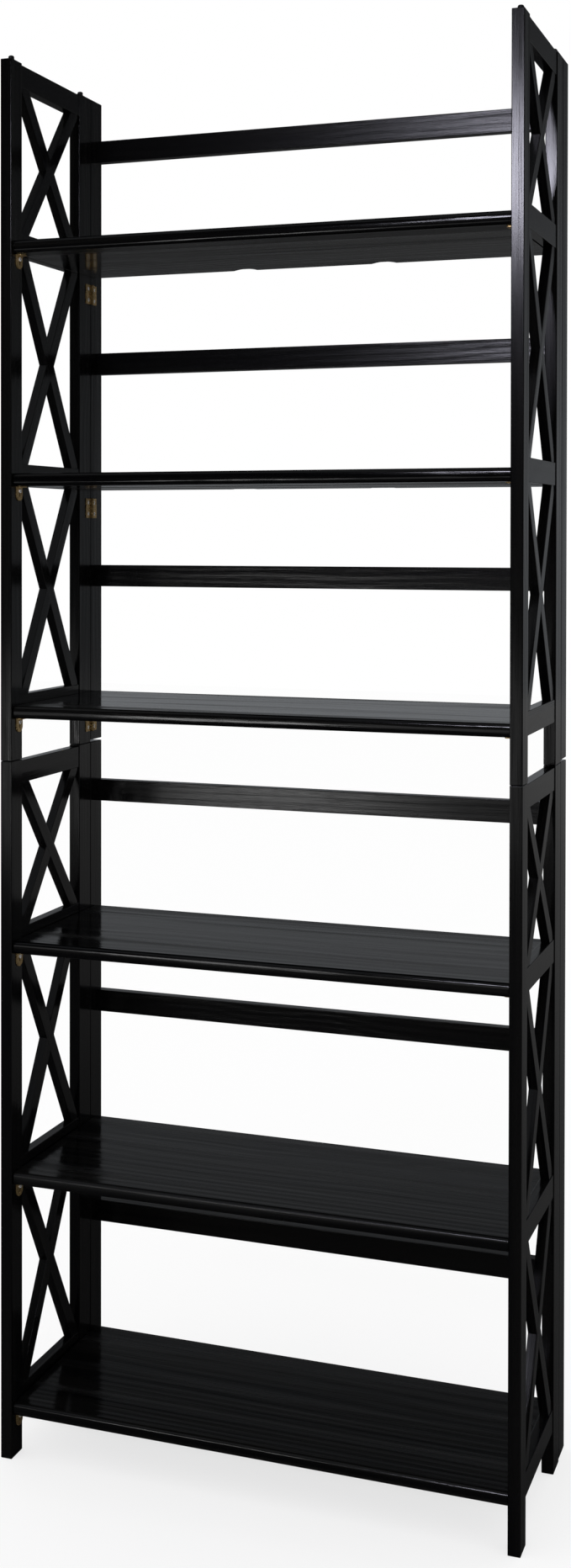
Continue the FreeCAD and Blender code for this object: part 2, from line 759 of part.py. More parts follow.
def dowels():
    """Every dowel of the left side: across the side frame's joints and into the back rails."""
    start = s.dowel_length / 2
    side_places = [
        (SIDE_MIDDLE_X, joint - start, level) for joint in BAY_Y for level in side_rail_levels()
    ]
    back_places = [
        (INNER_X - start, middle(BACK_RAIL_Y), level) for row in LEVELS for level in back_rail_levels(row)
    ]
    dowel = plain_pin("dowel", s.dowel_radius, s.dowel_length)
    side_set = copies("side_dowels", dowel, side_places, "y")
    return group("left_dowels", [side_set, copies("back_dowels", dowel, back_places, "x")])


# Shelf supports
def support():
    """An L-shaped shelf support: its flange level with Z = 0, its back on X = 0."""
    body = body_at("support_body")
    section = sketch_on(body, "XZ_Plane", "section")
    polygon(section, [
        (ZERO, ZERO),
        (ZERO, -s.support_height),
        (s.support_thickness, -s.support_height),
        (s.support_thickness, -s.support_thickness),
        (s.support_reach, -s.support_thickness),
        (s.support_reach, ZERO),
    ])
    pad(body, section, s.support_width, midplane=True)
    bend = value(s.support_thickness / 2)
    leg_end = value(s.support_thickness / 2 - s.support_height)
    flange_end = value(s.support_reach - s.support_thickness / 2)
    end_radius = (s.support_width - s.support_end_flat) / 2
    corner_radius = s.support_corner_radius
    ease(body, lambda edge: runs_along("x", edge) and edge.ZMax < leg_end, end_radius, "end")
    ease(body, lambda edge: runs_along("z", edge) and edge.XMin > flange_end, corner_radius, "corners")
    ease(body, lambda edge: edge.XMax < bend and edge.ZMin > -bend, s.support_bend_radius, "bend")
    screw = -s.support_screw_drop
    slot_end = screw - s.support_slot_travel
    through = (-s.cut_overrun, s.support_thickness + s.cut_overrun)
    radius = s.support_slot_radius
    slot = fuse("support_slot", [
        rod("slot_top", "x", radius, through, (ZERO, screw)),
        box("slot_middle", through, (-radius, radius), (slot_end, screw)),
        rod("slot_foot", "x", radius, through, (ZERO, slot_end)),
    ])
    return cut("support", body, slot)


def wooden_pieces():
    """The wooden pieces of one unit, each under its own name."""
    left_pieces = [left_front_post(), left_rear_post(), left_stile(), left_top_rail(), left_shelf_rails()]
    left_pieces += [left_slats("left_rising_slats", True), left_slats("left_falling_slats", False)]
    pieces = {left.Name: left for left in left_pieces}
    for left in left_pieces:
        right = left.Name.replace("left", "right")
        pieces[right] = mirror(right, left)
    for row, word in enumerate(ROWS):
        pieces[f"{word}_back_rail"] = back_rail(row)
        pieces[f"{word}_shelf"] = shelf(row)
    return pieces


def left_hardware():
    """The sets of like pieces on the left side of one unit, each under its own name."""
    flat_places = leaf_screw_places(-1) + leaf_screw_places(1)
    support_places = [(INNER_X, SUPPORT_Y, support_top(row)) for row in LEVELS]
    pivot_places = [(INNER_X - s.pivot_seat, PIVOT_Y, pivot_height(row)) for row in LEVELS]
    pivot_length = s.pivot_seat + s.shelf_end_clearance + s.pivot_reach
    pivot_pin = plain_pin("pivot_pin", s.pivot_radius, pivot_length)
    stack_middles = [middle(post_y) for post_y in (FRONT_POST_Y, REAR_POST_Y)]
    stack_places = [(SIDE_MIDDLE_X, y, s.unit_height) for y in stack_middles]
    return {
        "hinge_post_leaves": copies("post_leaves", hinge_leaf("post_leaf", -1, (0, 2)), hinge_places()),
        "hinge_stile_leaves": copies("stile_leaves", hinge_leaf("stile_leaf", 1, (1,)), hinge_places()),
        "hinge_pins": copies("left_hinge_pins", hinge_pin(), hinge_places()),
        "hinge_screws": copies("left_flat_screws", flat_screw(), flat_places, "-x"),
        "shelf_supports": copies("left_supports", support(), support_places),
        "support_screws": copies("left_round_screws", round_screw(), support_screw_places(), "-x"),
        "shelf_pivot_pins": copies("left_pivot_pins", pivot_pin, pivot_places, "x"),
        "stacking_pins": copies("left_stacking_pins", stacking_pin(), stack_places),
        "dowels": dowels(),
    }


def build_unit():
    """One unit standing at Z = 0: every piece or set of like pieces, under its own name."""
    pieces = wooden_pieces()
    for name, left in left_hardware().items():
        pieces[name] = both_sides(name, left)
    return pieces


def stack_units(pieces):
    """Stand the unit on the floor and once more on top of itself, each piece as a node."""
    nodes = []
    for unit, foot in (("lower", ZERO), ("upper", s.unit_height + s.unit_gap)):
        for name, piece in pieces.items():
            node = group(f"{unit}_{name}", [piece])
            move(node, z=foot)
            nodes.append(node)
    return nodes


def check(nodes):
    """Stop if any object failed or any node's shape is empty or invalid."""
    for made in doc.Objects:
        if {"Invalid", "Error"} & set(made.State):
            raise RuntimeError(f"{made.Name} failed: {made.State}")
    for node in nodes:
        if node.Shape.isNull() or not node.Shape.isValid() or not node.Shape.Solids:
            raise RuntimeError(f"{node.Label} has no valid shape")


def main():
    """Build the bookcase and write one file for each node."""
    nodes = stack_units(build_unit())
    doc.recompute()
    check(nodes)
    os.makedirs("parts", exist_ok=True)
    for node in nodes:
        node.Shape.exportStep(f"parts/{node.Label}.step")
        print(f"{node.Label}: {len(node.Shape.Solids)} solids, {node.Shape.Volume:.0f} mm3")


main()
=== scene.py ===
"""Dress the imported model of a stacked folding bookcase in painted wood, brass and steel.

Lengths are in metres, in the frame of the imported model: X to the right, Y to the back and Z up,
with the origin on the floor under the middle of the bookcase.
"""

from __future__ import annotations

import logging
import math
from collections.abc import Callable, Iterable, Sequence
from dataclasses import dataclass
from enum import Enum
from functools import reduce

import bmesh
import bpy
from mathutils import Matrix, Vector


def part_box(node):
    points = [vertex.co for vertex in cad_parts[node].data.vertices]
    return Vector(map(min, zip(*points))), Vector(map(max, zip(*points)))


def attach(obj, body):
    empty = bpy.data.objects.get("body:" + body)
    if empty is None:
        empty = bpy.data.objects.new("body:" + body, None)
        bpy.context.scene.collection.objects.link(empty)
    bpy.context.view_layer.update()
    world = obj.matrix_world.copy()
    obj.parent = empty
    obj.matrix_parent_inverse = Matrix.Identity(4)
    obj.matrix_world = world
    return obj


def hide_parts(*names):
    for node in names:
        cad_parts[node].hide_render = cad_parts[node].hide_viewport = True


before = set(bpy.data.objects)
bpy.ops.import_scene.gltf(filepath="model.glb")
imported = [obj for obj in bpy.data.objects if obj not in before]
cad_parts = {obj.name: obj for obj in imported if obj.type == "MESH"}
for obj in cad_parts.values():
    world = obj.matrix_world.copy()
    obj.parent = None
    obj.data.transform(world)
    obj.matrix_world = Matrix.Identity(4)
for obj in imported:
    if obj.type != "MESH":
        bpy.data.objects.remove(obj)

LOG = logging.getLogger("bookcase")
MM = 0.001
ROWS = ("bottom", "middle", "top")
OVERCUT = 1 * MM
SIDES = 24
STRAIGHT = 0.999
WHITE = (1, 1, 1, 1)
Point = Sequence[float]
Solid = bmesh.types.BMesh
Socket = bpy.types.NodeSocket
Thing = bpy.types.Object
Material = bpy.types.Material


class Side(Enum):
    """The two side frames of a unit, with the sign of X on each."""

    LEFT = -1
    RIGHT = 1

    @property
    def word(self) -> str:
        """The side's name as it stands in the names of nodes."""
        return self.name.lower()


class Axis(Enum):
    """The axes of the bookcase, one of which a board's grain follows."""

    X = 0
    Y = 1
    Z = 2

    @property
    def to_board(self) -> Matrix:
        """The turn from the bookcase's axes to a board's: along, across and through it."""
        order = [(self.value + step) % 3 for step in range(3)]
        return Matrix([[1.0 if column == axis else 0.0 for column in range(3)] for axis in order])

    @property
    def way(self) -> Vector:
        """The direction of the axis."""
        return self.to_board[0]


# Node trees
@dataclass(frozen=True)
class Ramp:
    """A tone that runs from one value to another between two places on an axis."""

    axis: Axis
    low: Point
    high: Point


class Tree:
    """A node tree that is filled one node at a time."""

    def __init__(self, owner: Material | bpy.types.World | bpy.types.NodeTree) -> None:
        """Take over the tree of a material or a world, or a tree of its own, and empty it.

        Args:
            owner: What the tree belongs to, or the tree itself.
        """
        self.tree = owner
        if not isinstance(owner, bpy.types.NodeTree):
            owner.use_nodes = True
            self.tree = owner.node_tree
        self.tree.nodes.clear()

    def add(self, kind: str, inputs: dict | None = None, **settings: object) -> bpy.types.Node:
        """Add a node and fill it.

        Args:
            kind: The node's type.
            inputs: Sockets to fill, by name or number, each with a value or with a socket to link.
            **settings: Properties of the node itself.

        Returns:
            The new node.
        """
        node = self.tree.nodes.new(kind)
        for name, setting in settings.items():
            setattr(node, name, setting)
        for key, source in (inputs or {}).items():
            if isinstance(source, Socket):
                self.tree.links.new(source, node.inputs[key])
            else:
                node.inputs[key].default_value = source
        return node

    def result(self, kind: str, inputs: dict | None = None, **settings: object) -> Socket:
        """The first output of a new node."""
        return self.add(kind, inputs, **settings).outputs[0]

    def math(self, operation: str, first: object, second: object = 0.0) -> Socket:
        """The result of one sum over two numbers or sockets."""
        return self.result("ShaderNodeMath", {0: first, 1: second}, operation=operation)

    def plus(self, total: object, pattern: Socket, depth: object) -> Socket:
        """A number with a pattern of some depth added to it."""
        return self.math("ADD", total, self.math("MULTIPLY", pattern, depth))

    def spread(self, source: Socket, low: Point, high: Point) -> Socket:
        """A number moved from one range to another, where each end has its value before and after."""
        ends = {"From Min": low[0], "To Min": low[1], "From Max": high[0], "To Max": high[1]}
        return self.result("ShaderNodeMapRange", {"Value": source, **ends})

    def rise(self, source: Socket, low: float, high: float) -> Socket:
        """A number that rises from 0 to 1 while another goes from low to high."""
        return self.spread(source, (low, 0.0), (high, 1.0))

    def noise(self, place: Socket, scale: Point, detail: float = 2.0) -> Socket:
        """Noise with its own scale on each axis."""
        stretched = self.result("ShaderNodeVectorMath", {0: place, 1: scale}, operation="MULTIPLY")
        return self.result("ShaderNodeTexNoise", {"Vector": stretched, "Scale": 1.0, "Detail": detail})

    def split(self, place: Socket) -> Sequence[Socket]:
        """The three numbers of a place."""
        return self.add("ShaderNodeSeparateXYZ", {0: place}).outputs

    def tone(self, place: Socket, ramps: Sequence[Ramp]) -> Socket:
        """The product of several ramps.

        Args:
            place: The place or the direction that they are read at.
            ramps: The ramps.

        Returns:
            The socket with the tone.
        """
        split = self.split(place)
        tones = [self.spread(split[ramp.axis.value], ramp.low, ramp.high) for ramp in ramps]
        return reduce(lambda whole, tone: self.math("MULTIPLY", whole, tone), tones)

    def own_place(self) -> Socket:
        """The place in the object's own coordinates."""
        return self.add("ShaderNodeTexCoord").outputs["Object"]

    def blend(self, share: Socket, first: Point, second: Point) -> Socket:
        """A colour between two others."""
        ends = {"Factor": share, "A": (*first, 1), "B": (*second, 1)}
        return self.add("ShaderNodeMix", ends, data_type="RGBA").outputs["Result"]

    def either(self, share: Socket, first: Socket, second: Socket) -> Socket:
        """A shader between two others."""
        return self.result("ShaderNodeMixShader", {0: share, 1: first, 2: second})

    def surface(
        self,
        colour: object,
        roughness: object,
        height: Socket,
        depth: float = 1.0,
        strength: float = 1.0,
        **more: float,
    ) -> None:
        """End a material in one shader over slight relief.

        Args:
            colour: The colour or its socket.
            roughness: The roughness or its socket.
            height: The pattern of the relief.
            depth: The depth of the relief where its pattern goes from 0 to 1.
            strength: How much of the relief shows.
            **more: Other inputs of the shader.
        """
        relief = {"Height": height, "Strength": strength, "Distance": depth}
        normal = self.result("ShaderNodeBump", relief)
        inputs = {"Base Color": colour, "Roughness": roughness, "Normal": normal, **more}
        coat = self.result("ShaderNodeBsdfPrincipled", inputs)
        self.add("ShaderNodeOutputMaterial", {"Surface": coat})


def new_material(name: str) -> tuple[Material, Tree]:
    """A new material and its empty tree."""
    made = bpy.data.materials.new(name)
    return made, Tree(made)


# Finishes, whose patterns have a scale per metre on each axis
@dataclass(frozen=True)
class BlackPaint:
    """Black satin paint over fine-grained wood, whose figure shows through as slight relief."""

    name: str
    roughness: float
    pore_height: float
    worn_colour: Point = (0.002, 0.0019, 0.0018)
    colour: Point = (0.0006, 0.0006, 0.0008)
    refraction: float = 1.5
    ring_spacing: float = 9 * MM
    ring_depth: float = 90 * MM
    ring_wander: float = 50 * MM
    ring_height: float = 0.06 * MM
    wave_height: float = 1.4 * MM
    streak_height: float = 0.11 * MM
    skin_height: float = 0.012 * MM
    streak_roughness: float = 0.06
    cloud_roughness: float = 0.04
    figure_roughness: float = 0.0
    figure_range: Point = (0.48, 0.62)
    wear_range: Point = (0.42, 0.62)
    wander_scale: Point = (2.4, 9, 9)
    wave_scale: Point = (1, 25, 25)
    figure_scale: Point = (1.3, 45, 140)
    cloud_scale: Point = (4, 14, 14)
    streak_scale: Point = (9, 420, 420)
    pore_scale: Point = (35, 1600, 1600)
    skin_scale: Point = (900, 900, 900)

    def material(self) -> Material:
        """Make the paint, which follows each board's own grain coordinates.

        Returns:
            The material.
        """
        made, tree = new_material(self.name)
        grain = tree.add("ShaderNodeAttribute", attribute_name="grain").outputs["Vector"]
        streaks = tree.noise(grain, self.streak_scale, detail=3)
        waves = tree.noise(grain, self.wave_scale)
        height = tree.math("MULTIPLY", self.rings(tree, grain), self.ring_height)
        height = tree.plus(height, waves, self.wave_height)
        height = tree.plus(height, streaks, self.streak_height)
        height = tree.plus(height, tree.noise(grain, self.pore_scale), self.pore_height)
        height = tree.plus(height, tree.noise(grain, self.skin_scale), self.skin_height)
        smoothest = self.roughness - (self.streak_roughness + self.cloud_roughness) / 2
        rough = tree.plus(smoothest, streaks, self.streak_roughness)
        rough = tree.plus(rough, tree.noise(grain, self.cloud_scale), self.cloud_roughness)
        rough = tree.plus(rough, tree.rise(waves, *self.figure_range), self.figure_roughness)
        wear = tree.rise(tree.noise(grain, self.figure_scale, detail=3), *self.wear_range)
        tree.surface(tree.blend(wear, self.colour, self.worn_colour), rough, height, IOR=self.refraction)
        return made

    def rings(self, tree: Tree, grain: Socket) -> Socket:
        """Growth rings of a flat-sawn board, which wander along it.

        Args:
            tree: The material's tree.
            grain: The board's grain coordinates.

        Returns:
            A wave from 0 to 1 across the rings.
        """
        wander = tree.noise(grain, self.wander_scale)
        split = tree.split(grain)
        across = tree.plus(split[1], wander, self.ring_wander)
        through = tree.math("ADD", tree.plus(split[2], wander, self.ring_wander), self.ring_depth)
        squares = tree.plus(tree.math("MULTIPLY", across, across), through, through)
        turns = tree.math("MULTIPLY", tree.math("SQRT", squares), math.tau / self.ring_spacing)
        return tree.plus(0.5, tree.math("SINE", turns), 0.5)


@dataclass(frozen=True)
class Metal:
    """Bare or plated metal with fine scratches, faint stains and a slightly uneven shine."""

    name: str
    colour: Point
    stained_colour: Point
    roughness: float
    metallic: float
    scratch: float = 0.01 * MM
    stain_roughness: float = 0.1
    stain_range: Point = (0.5, 0.72)
    stain_scale: Point = (320, 320, 320)
    scratch_scale: Point = (2600, 2600, 260)

    def material(self) -> Material:
        """Make the metal, which is patterned in the object's own coordinates.

        Returns:
            The material.
        """
        made, tree = new_material(self.name)
        place = tree.own_place()
        stains = tree.noise(place, self.stain_scale, detail=3)
        colour = tree.blend(tree.rise(stains, *self.stain_range), self.colour, self.stained_colour)
        rough = tree.plus(self.roughness - self.stain_roughness / 2, stains, self.stain_roughness)
        scratches = tree.noise(place, self.scratch_scale)
        tree.surface(colour, rough, scratches, self.scratch, Metallic=self.metallic)
        return made


@dataclass(frozen=True)
class BlackLacquer:
    """Black lacquer on the metal stacking pins, thin and slightly uneven."""

    name: str = "black_lacquer_on_metal"
    colour: Point = (0.004, 0.004, 0.0045)
    roughness: float = 0.28
    unevenness: float = 0.08
    skin_height: float = 0.02 * MM
    skin_scale: Point = (1400, 1400, 1400)

    def material(self) -> Material:
        """Make the lacquer, which is patterned in the object's own coordinates.

        Returns:
            The material.
        """
        made, tree = new_material(self.name)
        skin = tree.noise(tree.own_place(), self.skin_scale)
        rough = tree.plus(self.roughness - self.unevenness / 2, skin, self.unevenness)
        tree.surface((*self.colour, 1), rough, skin, self.skin_height)
        return made


@dataclass(frozen=True)
class BareBeech:
    """Unfinished beech of the hidden dowels, with short dark flecks."""

    name: str = "bare_beech"
    colour: Point = (0.60, 0.43, 0.27)
    fleck_colour: Point = (0.42, 0.27, 0.15)
    roughness: float = 0.6
    fleck_height: float = 0.1 * MM
    fleck_strength: float = 0.6
    fleck_range: Point = (0.4, 0.65)
    fleck_scale: Point = (500, 500, 500)

    def material(self) -> Material:
        """Make the wood, which is patterned in the object's own coordinates.

        Returns:
            The material.
        """
        made, tree = new_material(self.name)
        flecks = tree.noise(tree.own_place(), self.fleck_scale, detail=4)
        colour = tree.blend(tree.rise(flecks, *self.fleck_range), self.colour, self.fleck_colour)
        tree.surface(colour, self.roughness, flecks, self.fleck_height, self.fleck_strength)
        return made


class Finish(Enum):
    """Every finish of the bookcase: the record's slot that it fills, and how it is made."""

    WOOD = ("black_wood", BlackPaint("black_paint_on_wood", 0.15, 0.018 * MM))
    SHELF = ("black_wood", BlackPaint(
        "black_paint_on_shelves",
        0.095,
        0.018 * MM,
        (0.003, 0.0029, 0.0028),
        wave_height=0.5 * MM,
        figure_roughness=0.22,
    ))
    RAIL = ("black_wood", BlackPaint("thin_black_paint_on_back_rails", 0.19, 0.06 * MM, wave_height=0.8 * MM))
    BRASS = ("brass", Metal("aged_brass_plate", (0.62, 0.44, 0.20), (0.36, 0.21, 0.10), 0.28, 0.88))
    STEEL = ("bright_steel", Metal("zinc_plated_steel", (0.78, 0.77, 0.74), (0.55, 0.53, 0.50), 0.22, 0.6))
    PIN = ("black_metal", BlackLacquer())
    DOWEL = ("plain_wood", BareBeech())

    @property
    def slot(self) -> str:
        """The record's slot."""
        return self.value[0]

    @property
    def word(self) -> str:
        """The word that it adds to the name of a piece."""
        return "painted" if self.slot == "black_wood" else self.name.lower()

    def material(self) -> Material:
        """Make the material."""
        return self.value[1].material()


# Meshes
def skinned(solid: Solid, rings: Sequence[Sequence[bmesh.types.BMVert]]) -> Solid:
    """Join the rings of a solid with faces that look outwards.

    Args:
        solid: The solid, with the corners of every ring.
        rings: The rings from one end to the other; a ring of one corner is a pole.

    Returns:
        The same solid.
    """
    sides = max(len(ring) for ring in rings)
    for lower, upper in zip(rings, rings[1:]):
        for number in range(sides):
            follower = (number + 1) % sides
            corners = (
                lower[number % len(lower)],
                lower[follower % len(lower)],
                upper[follower % len(upper)],
                upper[number % len(upper)],
            )
            solid.faces.new(list(dict.fromkeys(corners)))
    bmesh.ops.recalc_face_normals(solid, faces=solid.faces[:])
    return solid


def prism(outline: Sequence[Point], low: float, high: float, axis: Axis) -> Solid:
    """Raise a flat outline to a solid.

    Args:
        outline: Corners in the two other axes, taken in the order X, Y, Z.
        low: Where the solid starts on the axis.
        high: Where it ends.
        axis: The axis that the outline is raised along.

    Returns:
        The solid.
    """
    solid = bmesh.new()
    cut = axis.value
    rings = [
        [solid.verts.new((*flat[:cut], level, *flat[cut:])) for flat in map(tuple, outline)]
        for level in (low, high)
    ]
    for ring in rings:
        solid.faces.new(ring)
    return skinned(solid, rings)


def turned(profile: Sequence[Point], axis: Axis = Axis.X, sides: int = SIDES) -> Solid:
    """Turn a profile about an axis.

    Args:
        profile: Pairs of radius and place along the axis; the first and the last lie on the axis.
        axis: The axis of the turn.
        sides: How many faces go round it.

    Returns:
        The solid.
    """
    solid = bmesh.new()
    rings = []
    for radius, along in profile:
        ring = []
        for number in range(sides if radius > 0 else 1):
            angle = math.tau * number / sides
            place = [radius * math.cos(angle), radius * math.sin(angle)]
            place.insert(axis.value, along)
            ring.append(solid.verts.new(place))
        rings.append(ring)
    return skinned(solid, rings)


def rod(radius: float, low: float, high: float, axis: Axis, sides: int = SIDES) -> Solid:
    """A round rod about an axis."""
    return turned([(0, low), (radius, low), (radius, high), (0, high)], axis, sides)


def rounding(radius: float, level: float, bend: float, steps: int) -> list[Point]:
    """Profile of the rounded rim of a turned piece.

    Args:
        radius: The piece's radius below the rim.
        level: Where the rim starts.
        bend: The radius of the rim's own curve.
        steps: How many flats stand in for the curve.

    Returns:
        Pairs of radius and place along the axis.
    """
    turns = [math.pi / 2 * number / steps for number in range(steps + 1)]
    return [(radius - bend * (1 - math.cos(turn)), level + bend * math.sin(turn)) for turn in turns]


def moved(solid: Solid, step: Point) -> Solid:
    """The same solid, moved by a step."""
    bmesh.ops.translate(solid, verts=solid.verts[:], vec=step)
    return solid


def ease_edges(
    solid: Solid,
    radius: float,
    steps: int = 3,
    way: Vector | None = None,
    within: Callable[[Vector], bool] = lambda place: True,
) -> None:
    """Round edges of a solid.

    Args:
        solid: The solid.
        radius: The radius of the rounding.
        steps: How many flats stand in for it.
        way: The direction of the edges that are rounded; without it, all are.
        within: Tells whether a place is in the region where edges are rounded.
    """
    edges = []
    for edge in solid.edges:
        start, end = (vert.co for vert in edge.verts)
        span = end - start
        follows = way is None or abs(span.dot(way)) > STRAIGHT * span.length
        if follows and within(start) and within(end):
            edges.append(edge)
    bmesh.ops.bevel(solid, geom=edges, offset=radius, segments=steps, profile=0.5, affect="EDGES")


def joined(solids: Sequence[Solid]) -> Solid:
    """Put several solids into the first one, each as its own shell.

    Args:
        solids: The solids; all but the first are freed.

    Returns:
        The first one.
    """
    for solid in solids[1:]:
        extra = bpy.data.meshes.new("extra")
        solid.to_mesh(extra)
        solids[0].from_mesh(extra)
        bpy.data.meshes.remove(extra)
        solid.free()
    return solids[0]


def linked_object(name: str, data: bpy.types.ID) -> Thing:
    """A new object in the scene."""
    bpy.context.scene.collection.objects.link(made := bpy.data.objects.new(name, data))
    return made


def object_of(name: str, solid: Solid) -> Thing:
    """Turn a solid into an object of the scene.

    Args:
        name: The name of the object and its mesh.
        solid: The solid, which is freed.

    Returns:
        The object.
    """
    mesh = bpy.data.meshes.new(name)
    solid.to_mesh(mesh)
    solid.free()
    return linked_object(name, mesh)


def discard(thing: Thing) -> None:
    """Remove an object and its mesh.

    Args:
        thing: The object.
    """
    mesh = thing.data
    bpy.data.objects.remove(thing)
    bpy.data.meshes.remove(mesh)


def settle(thing: Thing) -> None:
    """Replace an object's mesh by the plain result of its modifiers, and remove these.

    Args:
        thing: The object.
    """
    graph = bpy.context.evaluated_depsgraph_get()
    before = thing.data
    after = bpy.data.meshes.new_from_object(
        thing.evaluated_get(graph), preserve_all_data_layers=True, depsgraph=graph
    )
    thing.modifiers.clear()
    thing.data = after
    after.name = thing.name
    bpy.data.meshes.remove(before)


def carve(solid: Solid, cutters: Solid) -> Solid:
    """Cut one solid out of another.

    Args:
        solid: What is cut; it is freed.
        cutters: What is cut away; it is freed.

    Returns:
        What is left.
    """
    body = object_of("carved", solid)
    tool = object_of("cutters", cutters)
    modifier = body.modifiers.new("cut", "BOOLEAN")
    modifier.operation = "DIFFERENCE"
    modifier.solver = "EXACT"
    modifier.object = tool
    settle(body)
    left = bmesh.new()
    left.from_mesh(body.data)
    discard(body)
    discard(tool)
    return left


def merged(things: Sequence[Thing]) -> Thing:
    """Join objects of one material into one that has the first one's name.

    Args:
        things: The objects, which are used up.

    Returns:
        The joined object.
    """
    if len(things) == 1:
        return things[0]
    name = things[0].name
    material = next(found for found in things[0].data.materials if found)
    solid = bmesh.new()
    for thing in things:
        solid.from_mesh(thing.data)
        discard(thing)
    for face in solid.faces:
        face.material_index = 0
    made = object_of(name, solid)
    made.data.materials.append(material)
    return made


def shade(thing: Thing, sharp_degrees: float = 40) -> None:
    """Shade an object smoothly over its small faces and keep its large faces flat.

    Args:
        thing: The object.
        sharp_degrees: The turn from face to face past which an edge stays sharp.
    """
    mesh = thing.data
    mesh.polygons.foreach_set("use_smooth", [True] * len(mesh.polygons))
    mesh.set_sharp_from_angle(angle=math.radians(sharp_degrees))
    modifier = thing.modifiers.new("even_shading", "WEIGHTED_NORMAL")
    modifier.keep_sharp = True
    settle(thing)


def hand_over(thing: Thing, finish: Finish, body: str, node: str) -> None:
    """Shade a piece, put it on its body in place of its node and report it.

    Args:
        thing: The piece, with its material.
        finish: The finish; its slot is looked up but not used.
        body: The body that it moves with.
        node: The node that it stands for.
    """
    shade(thing)
    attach(thing, body)
    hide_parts(node)
    finish.slot
    LOG.info("%s: %d faces on %s", thing.name, len(thing.data.polygons), body)


# Wood
@dataclass
class Board:
    """A straight piece of wood between two corners, with eased arrises."""

    low: Point
    high: Point
    grain: Axis
    arris: float
    eased_ends: bool = False

    def solid(self) -> Solid:
        """The board with its arrises eased, and its ends too where they stand free.

        Returns:
            The solid.
        """
        first, second = (axis for axis in range(3) if axis != self.grain.value)
        low, high, along = self.low, self.high, self.grain.value
        corners = ((low, low), (high, low), (high, high), (low, high))
        outline = [(near[first], far[second]) for near, far in corners]
        made = prism(outline, low[along], high[along], self.grain)
        ease_edges(made, self.arris, way=None if self.eased_ends else self.grain.way)
        return made


# Repeated pieces
@dataclass(frozen=True)
class Layout:
    """Where the copies of a piece stand, and how the grain moves on from one to the next."""

    start: Point
    row_step: Point
    rows: int = len(ROWS)
    columns: int = 1
    column_step: Point = (0, 0, 0)
    both_sides: bool = False
    turn: Point = (0, 0, 0)
    grain_step: Point = (0, 0, 0)


class Repeat:
    """Geometry nodes that repeat a piece in columns and rows, on one side or on both."""

    INPUTS = {
        "piece": "Object",
        "finish": "Material",
        "start": "Vector",
        "row_step": "Vector",
        "rows": "Int",
        "columns": "Int",
        "column_step": "Vector",
        "both_sides": "Bool",
        "turn": "Vector",
        "grain_step": "Vector",
    }

    def __init__(self) -> None:
        """Build the tree."""
        self.group = bpy.data.node_groups.new("repeat_up_the_unit", "GeometryNodeTree")
        sockets = self.group.interface
        self.keys = {
            name: sockets.new_socket(name, in_out="INPUT", socket_type=f"NodeSocket{kind}").identifier
            for name, kind in self.INPUTS.items()
        }
        sockets.new_socket("Geometry", in_out="OUTPUT", socket_type="NodeSocketGeometry")
        tree = Tree(self.group)
        sizes = tree.add("NodeGroupInput").outputs
        piece = tree.add("GeometryNodeObjectInfo", {"Object": sizes["piece"]}).outputs["Geometry"]
        column = {"Count": sizes["columns"], "Offset": sizes["column_step"]}
        columns = tree.result("GeometryNodeMeshLine", column)
        row = {"Count": sizes["rows"], "Start Location": sizes["start"], "Offset": sizes["row_step"]}
        rows = tree.result("GeometryNodeMeshLine", row)
        grid = tree.result("GeometryNodeInstanceOnPoints", {"Points": rows, "Instance": columns})
        places = tree.result("GeometryNodeRealizeInstances", {0: grid})
        across = tree.result("GeometryNodeTransform", {"Geometry": places, "Scale": (-1, 1, 1)})
        copies = {"Points": places, "Instance": piece}
        near = tree.result("GeometryNodeInstanceOnPoints", copies)
        copies = {"Points": across, "Instance": piece, "Rotation": sizes["turn"]}
        far = tree.result("GeometryNodeInstanceOnPoints", copies)
        both = tree.add("GeometryNodeJoinGeometry")
        for half in (near, far):
            self.group.links.new(half, both.inputs[0])
        ways = {"Switch": sizes["both_sides"], "False": near, "True": both.outputs[0]}
        chosen = tree.result("GeometryNodeSwitch", ways, input_type="GEOMETRY")
        index = tree.result("GeometryNodeInputIndex")
        count = {"Geometry": chosen, "Name": "number", "Value": index}
        counted = tree.result("GeometryNodeStoreNamedAttribute", count, data_type="FLOAT", domain="INSTANCE")
        loose = tree.result("GeometryNodeRealizeInstances", {0: counted})
        number = tree.result("GeometryNodeInputNamedAttribute", {"Name": "number"}, data_type="FLOAT")
        grain = tree.result("GeometryNodeInputNamedAttribute", {"Name": "grain"}, data_type="FLOAT_VECTOR")
        step = {0: sizes["grain_step"], "Scale": number}
        step = tree.result("ShaderNodeVectorMath", step, operation="SCALE")
        grain = tree.result("ShaderNodeVectorMath", {0: grain, 1: step}, operation="ADD")
        mark = {"Geometry": loose, "Name": "grain", "Value": grain}
        kinds = {"data_type": "FLOAT_VECTOR", "domain": "POINT"}
        marked = tree.result("GeometryNodeStoreNamedAttribute", mark, **kinds)
        dressed = tree.result("GeometryNodeSetMaterial", {"Geometry": marked, "Material": sizes["finish"]})
        tree.add("NodeGroupOutput", {0: dressed})

    def place(self, name: str, piece: Thing, finish: Material, layout: Layout) -> Thing:
        """Repeat a piece and keep the result as a plain mesh.

        Args:
            name: The name of the new object.
            piece: The piece about its own origin.
            finish: Its material.
            layout: Where its copies stand.

        Returns:
            The new object.
        """
        made = linked_object(name, bpy.data.meshes.new(name))
        modifier = made.modifiers.new("repeat", "NODES")
        modifier.node_group = self.group
        for label, size in {"piece": piece, "finish": finish, **vars(layout)}.items():
            modifier[self.keys[label]] = size
        made.data.update()
        settle(made)
        return made


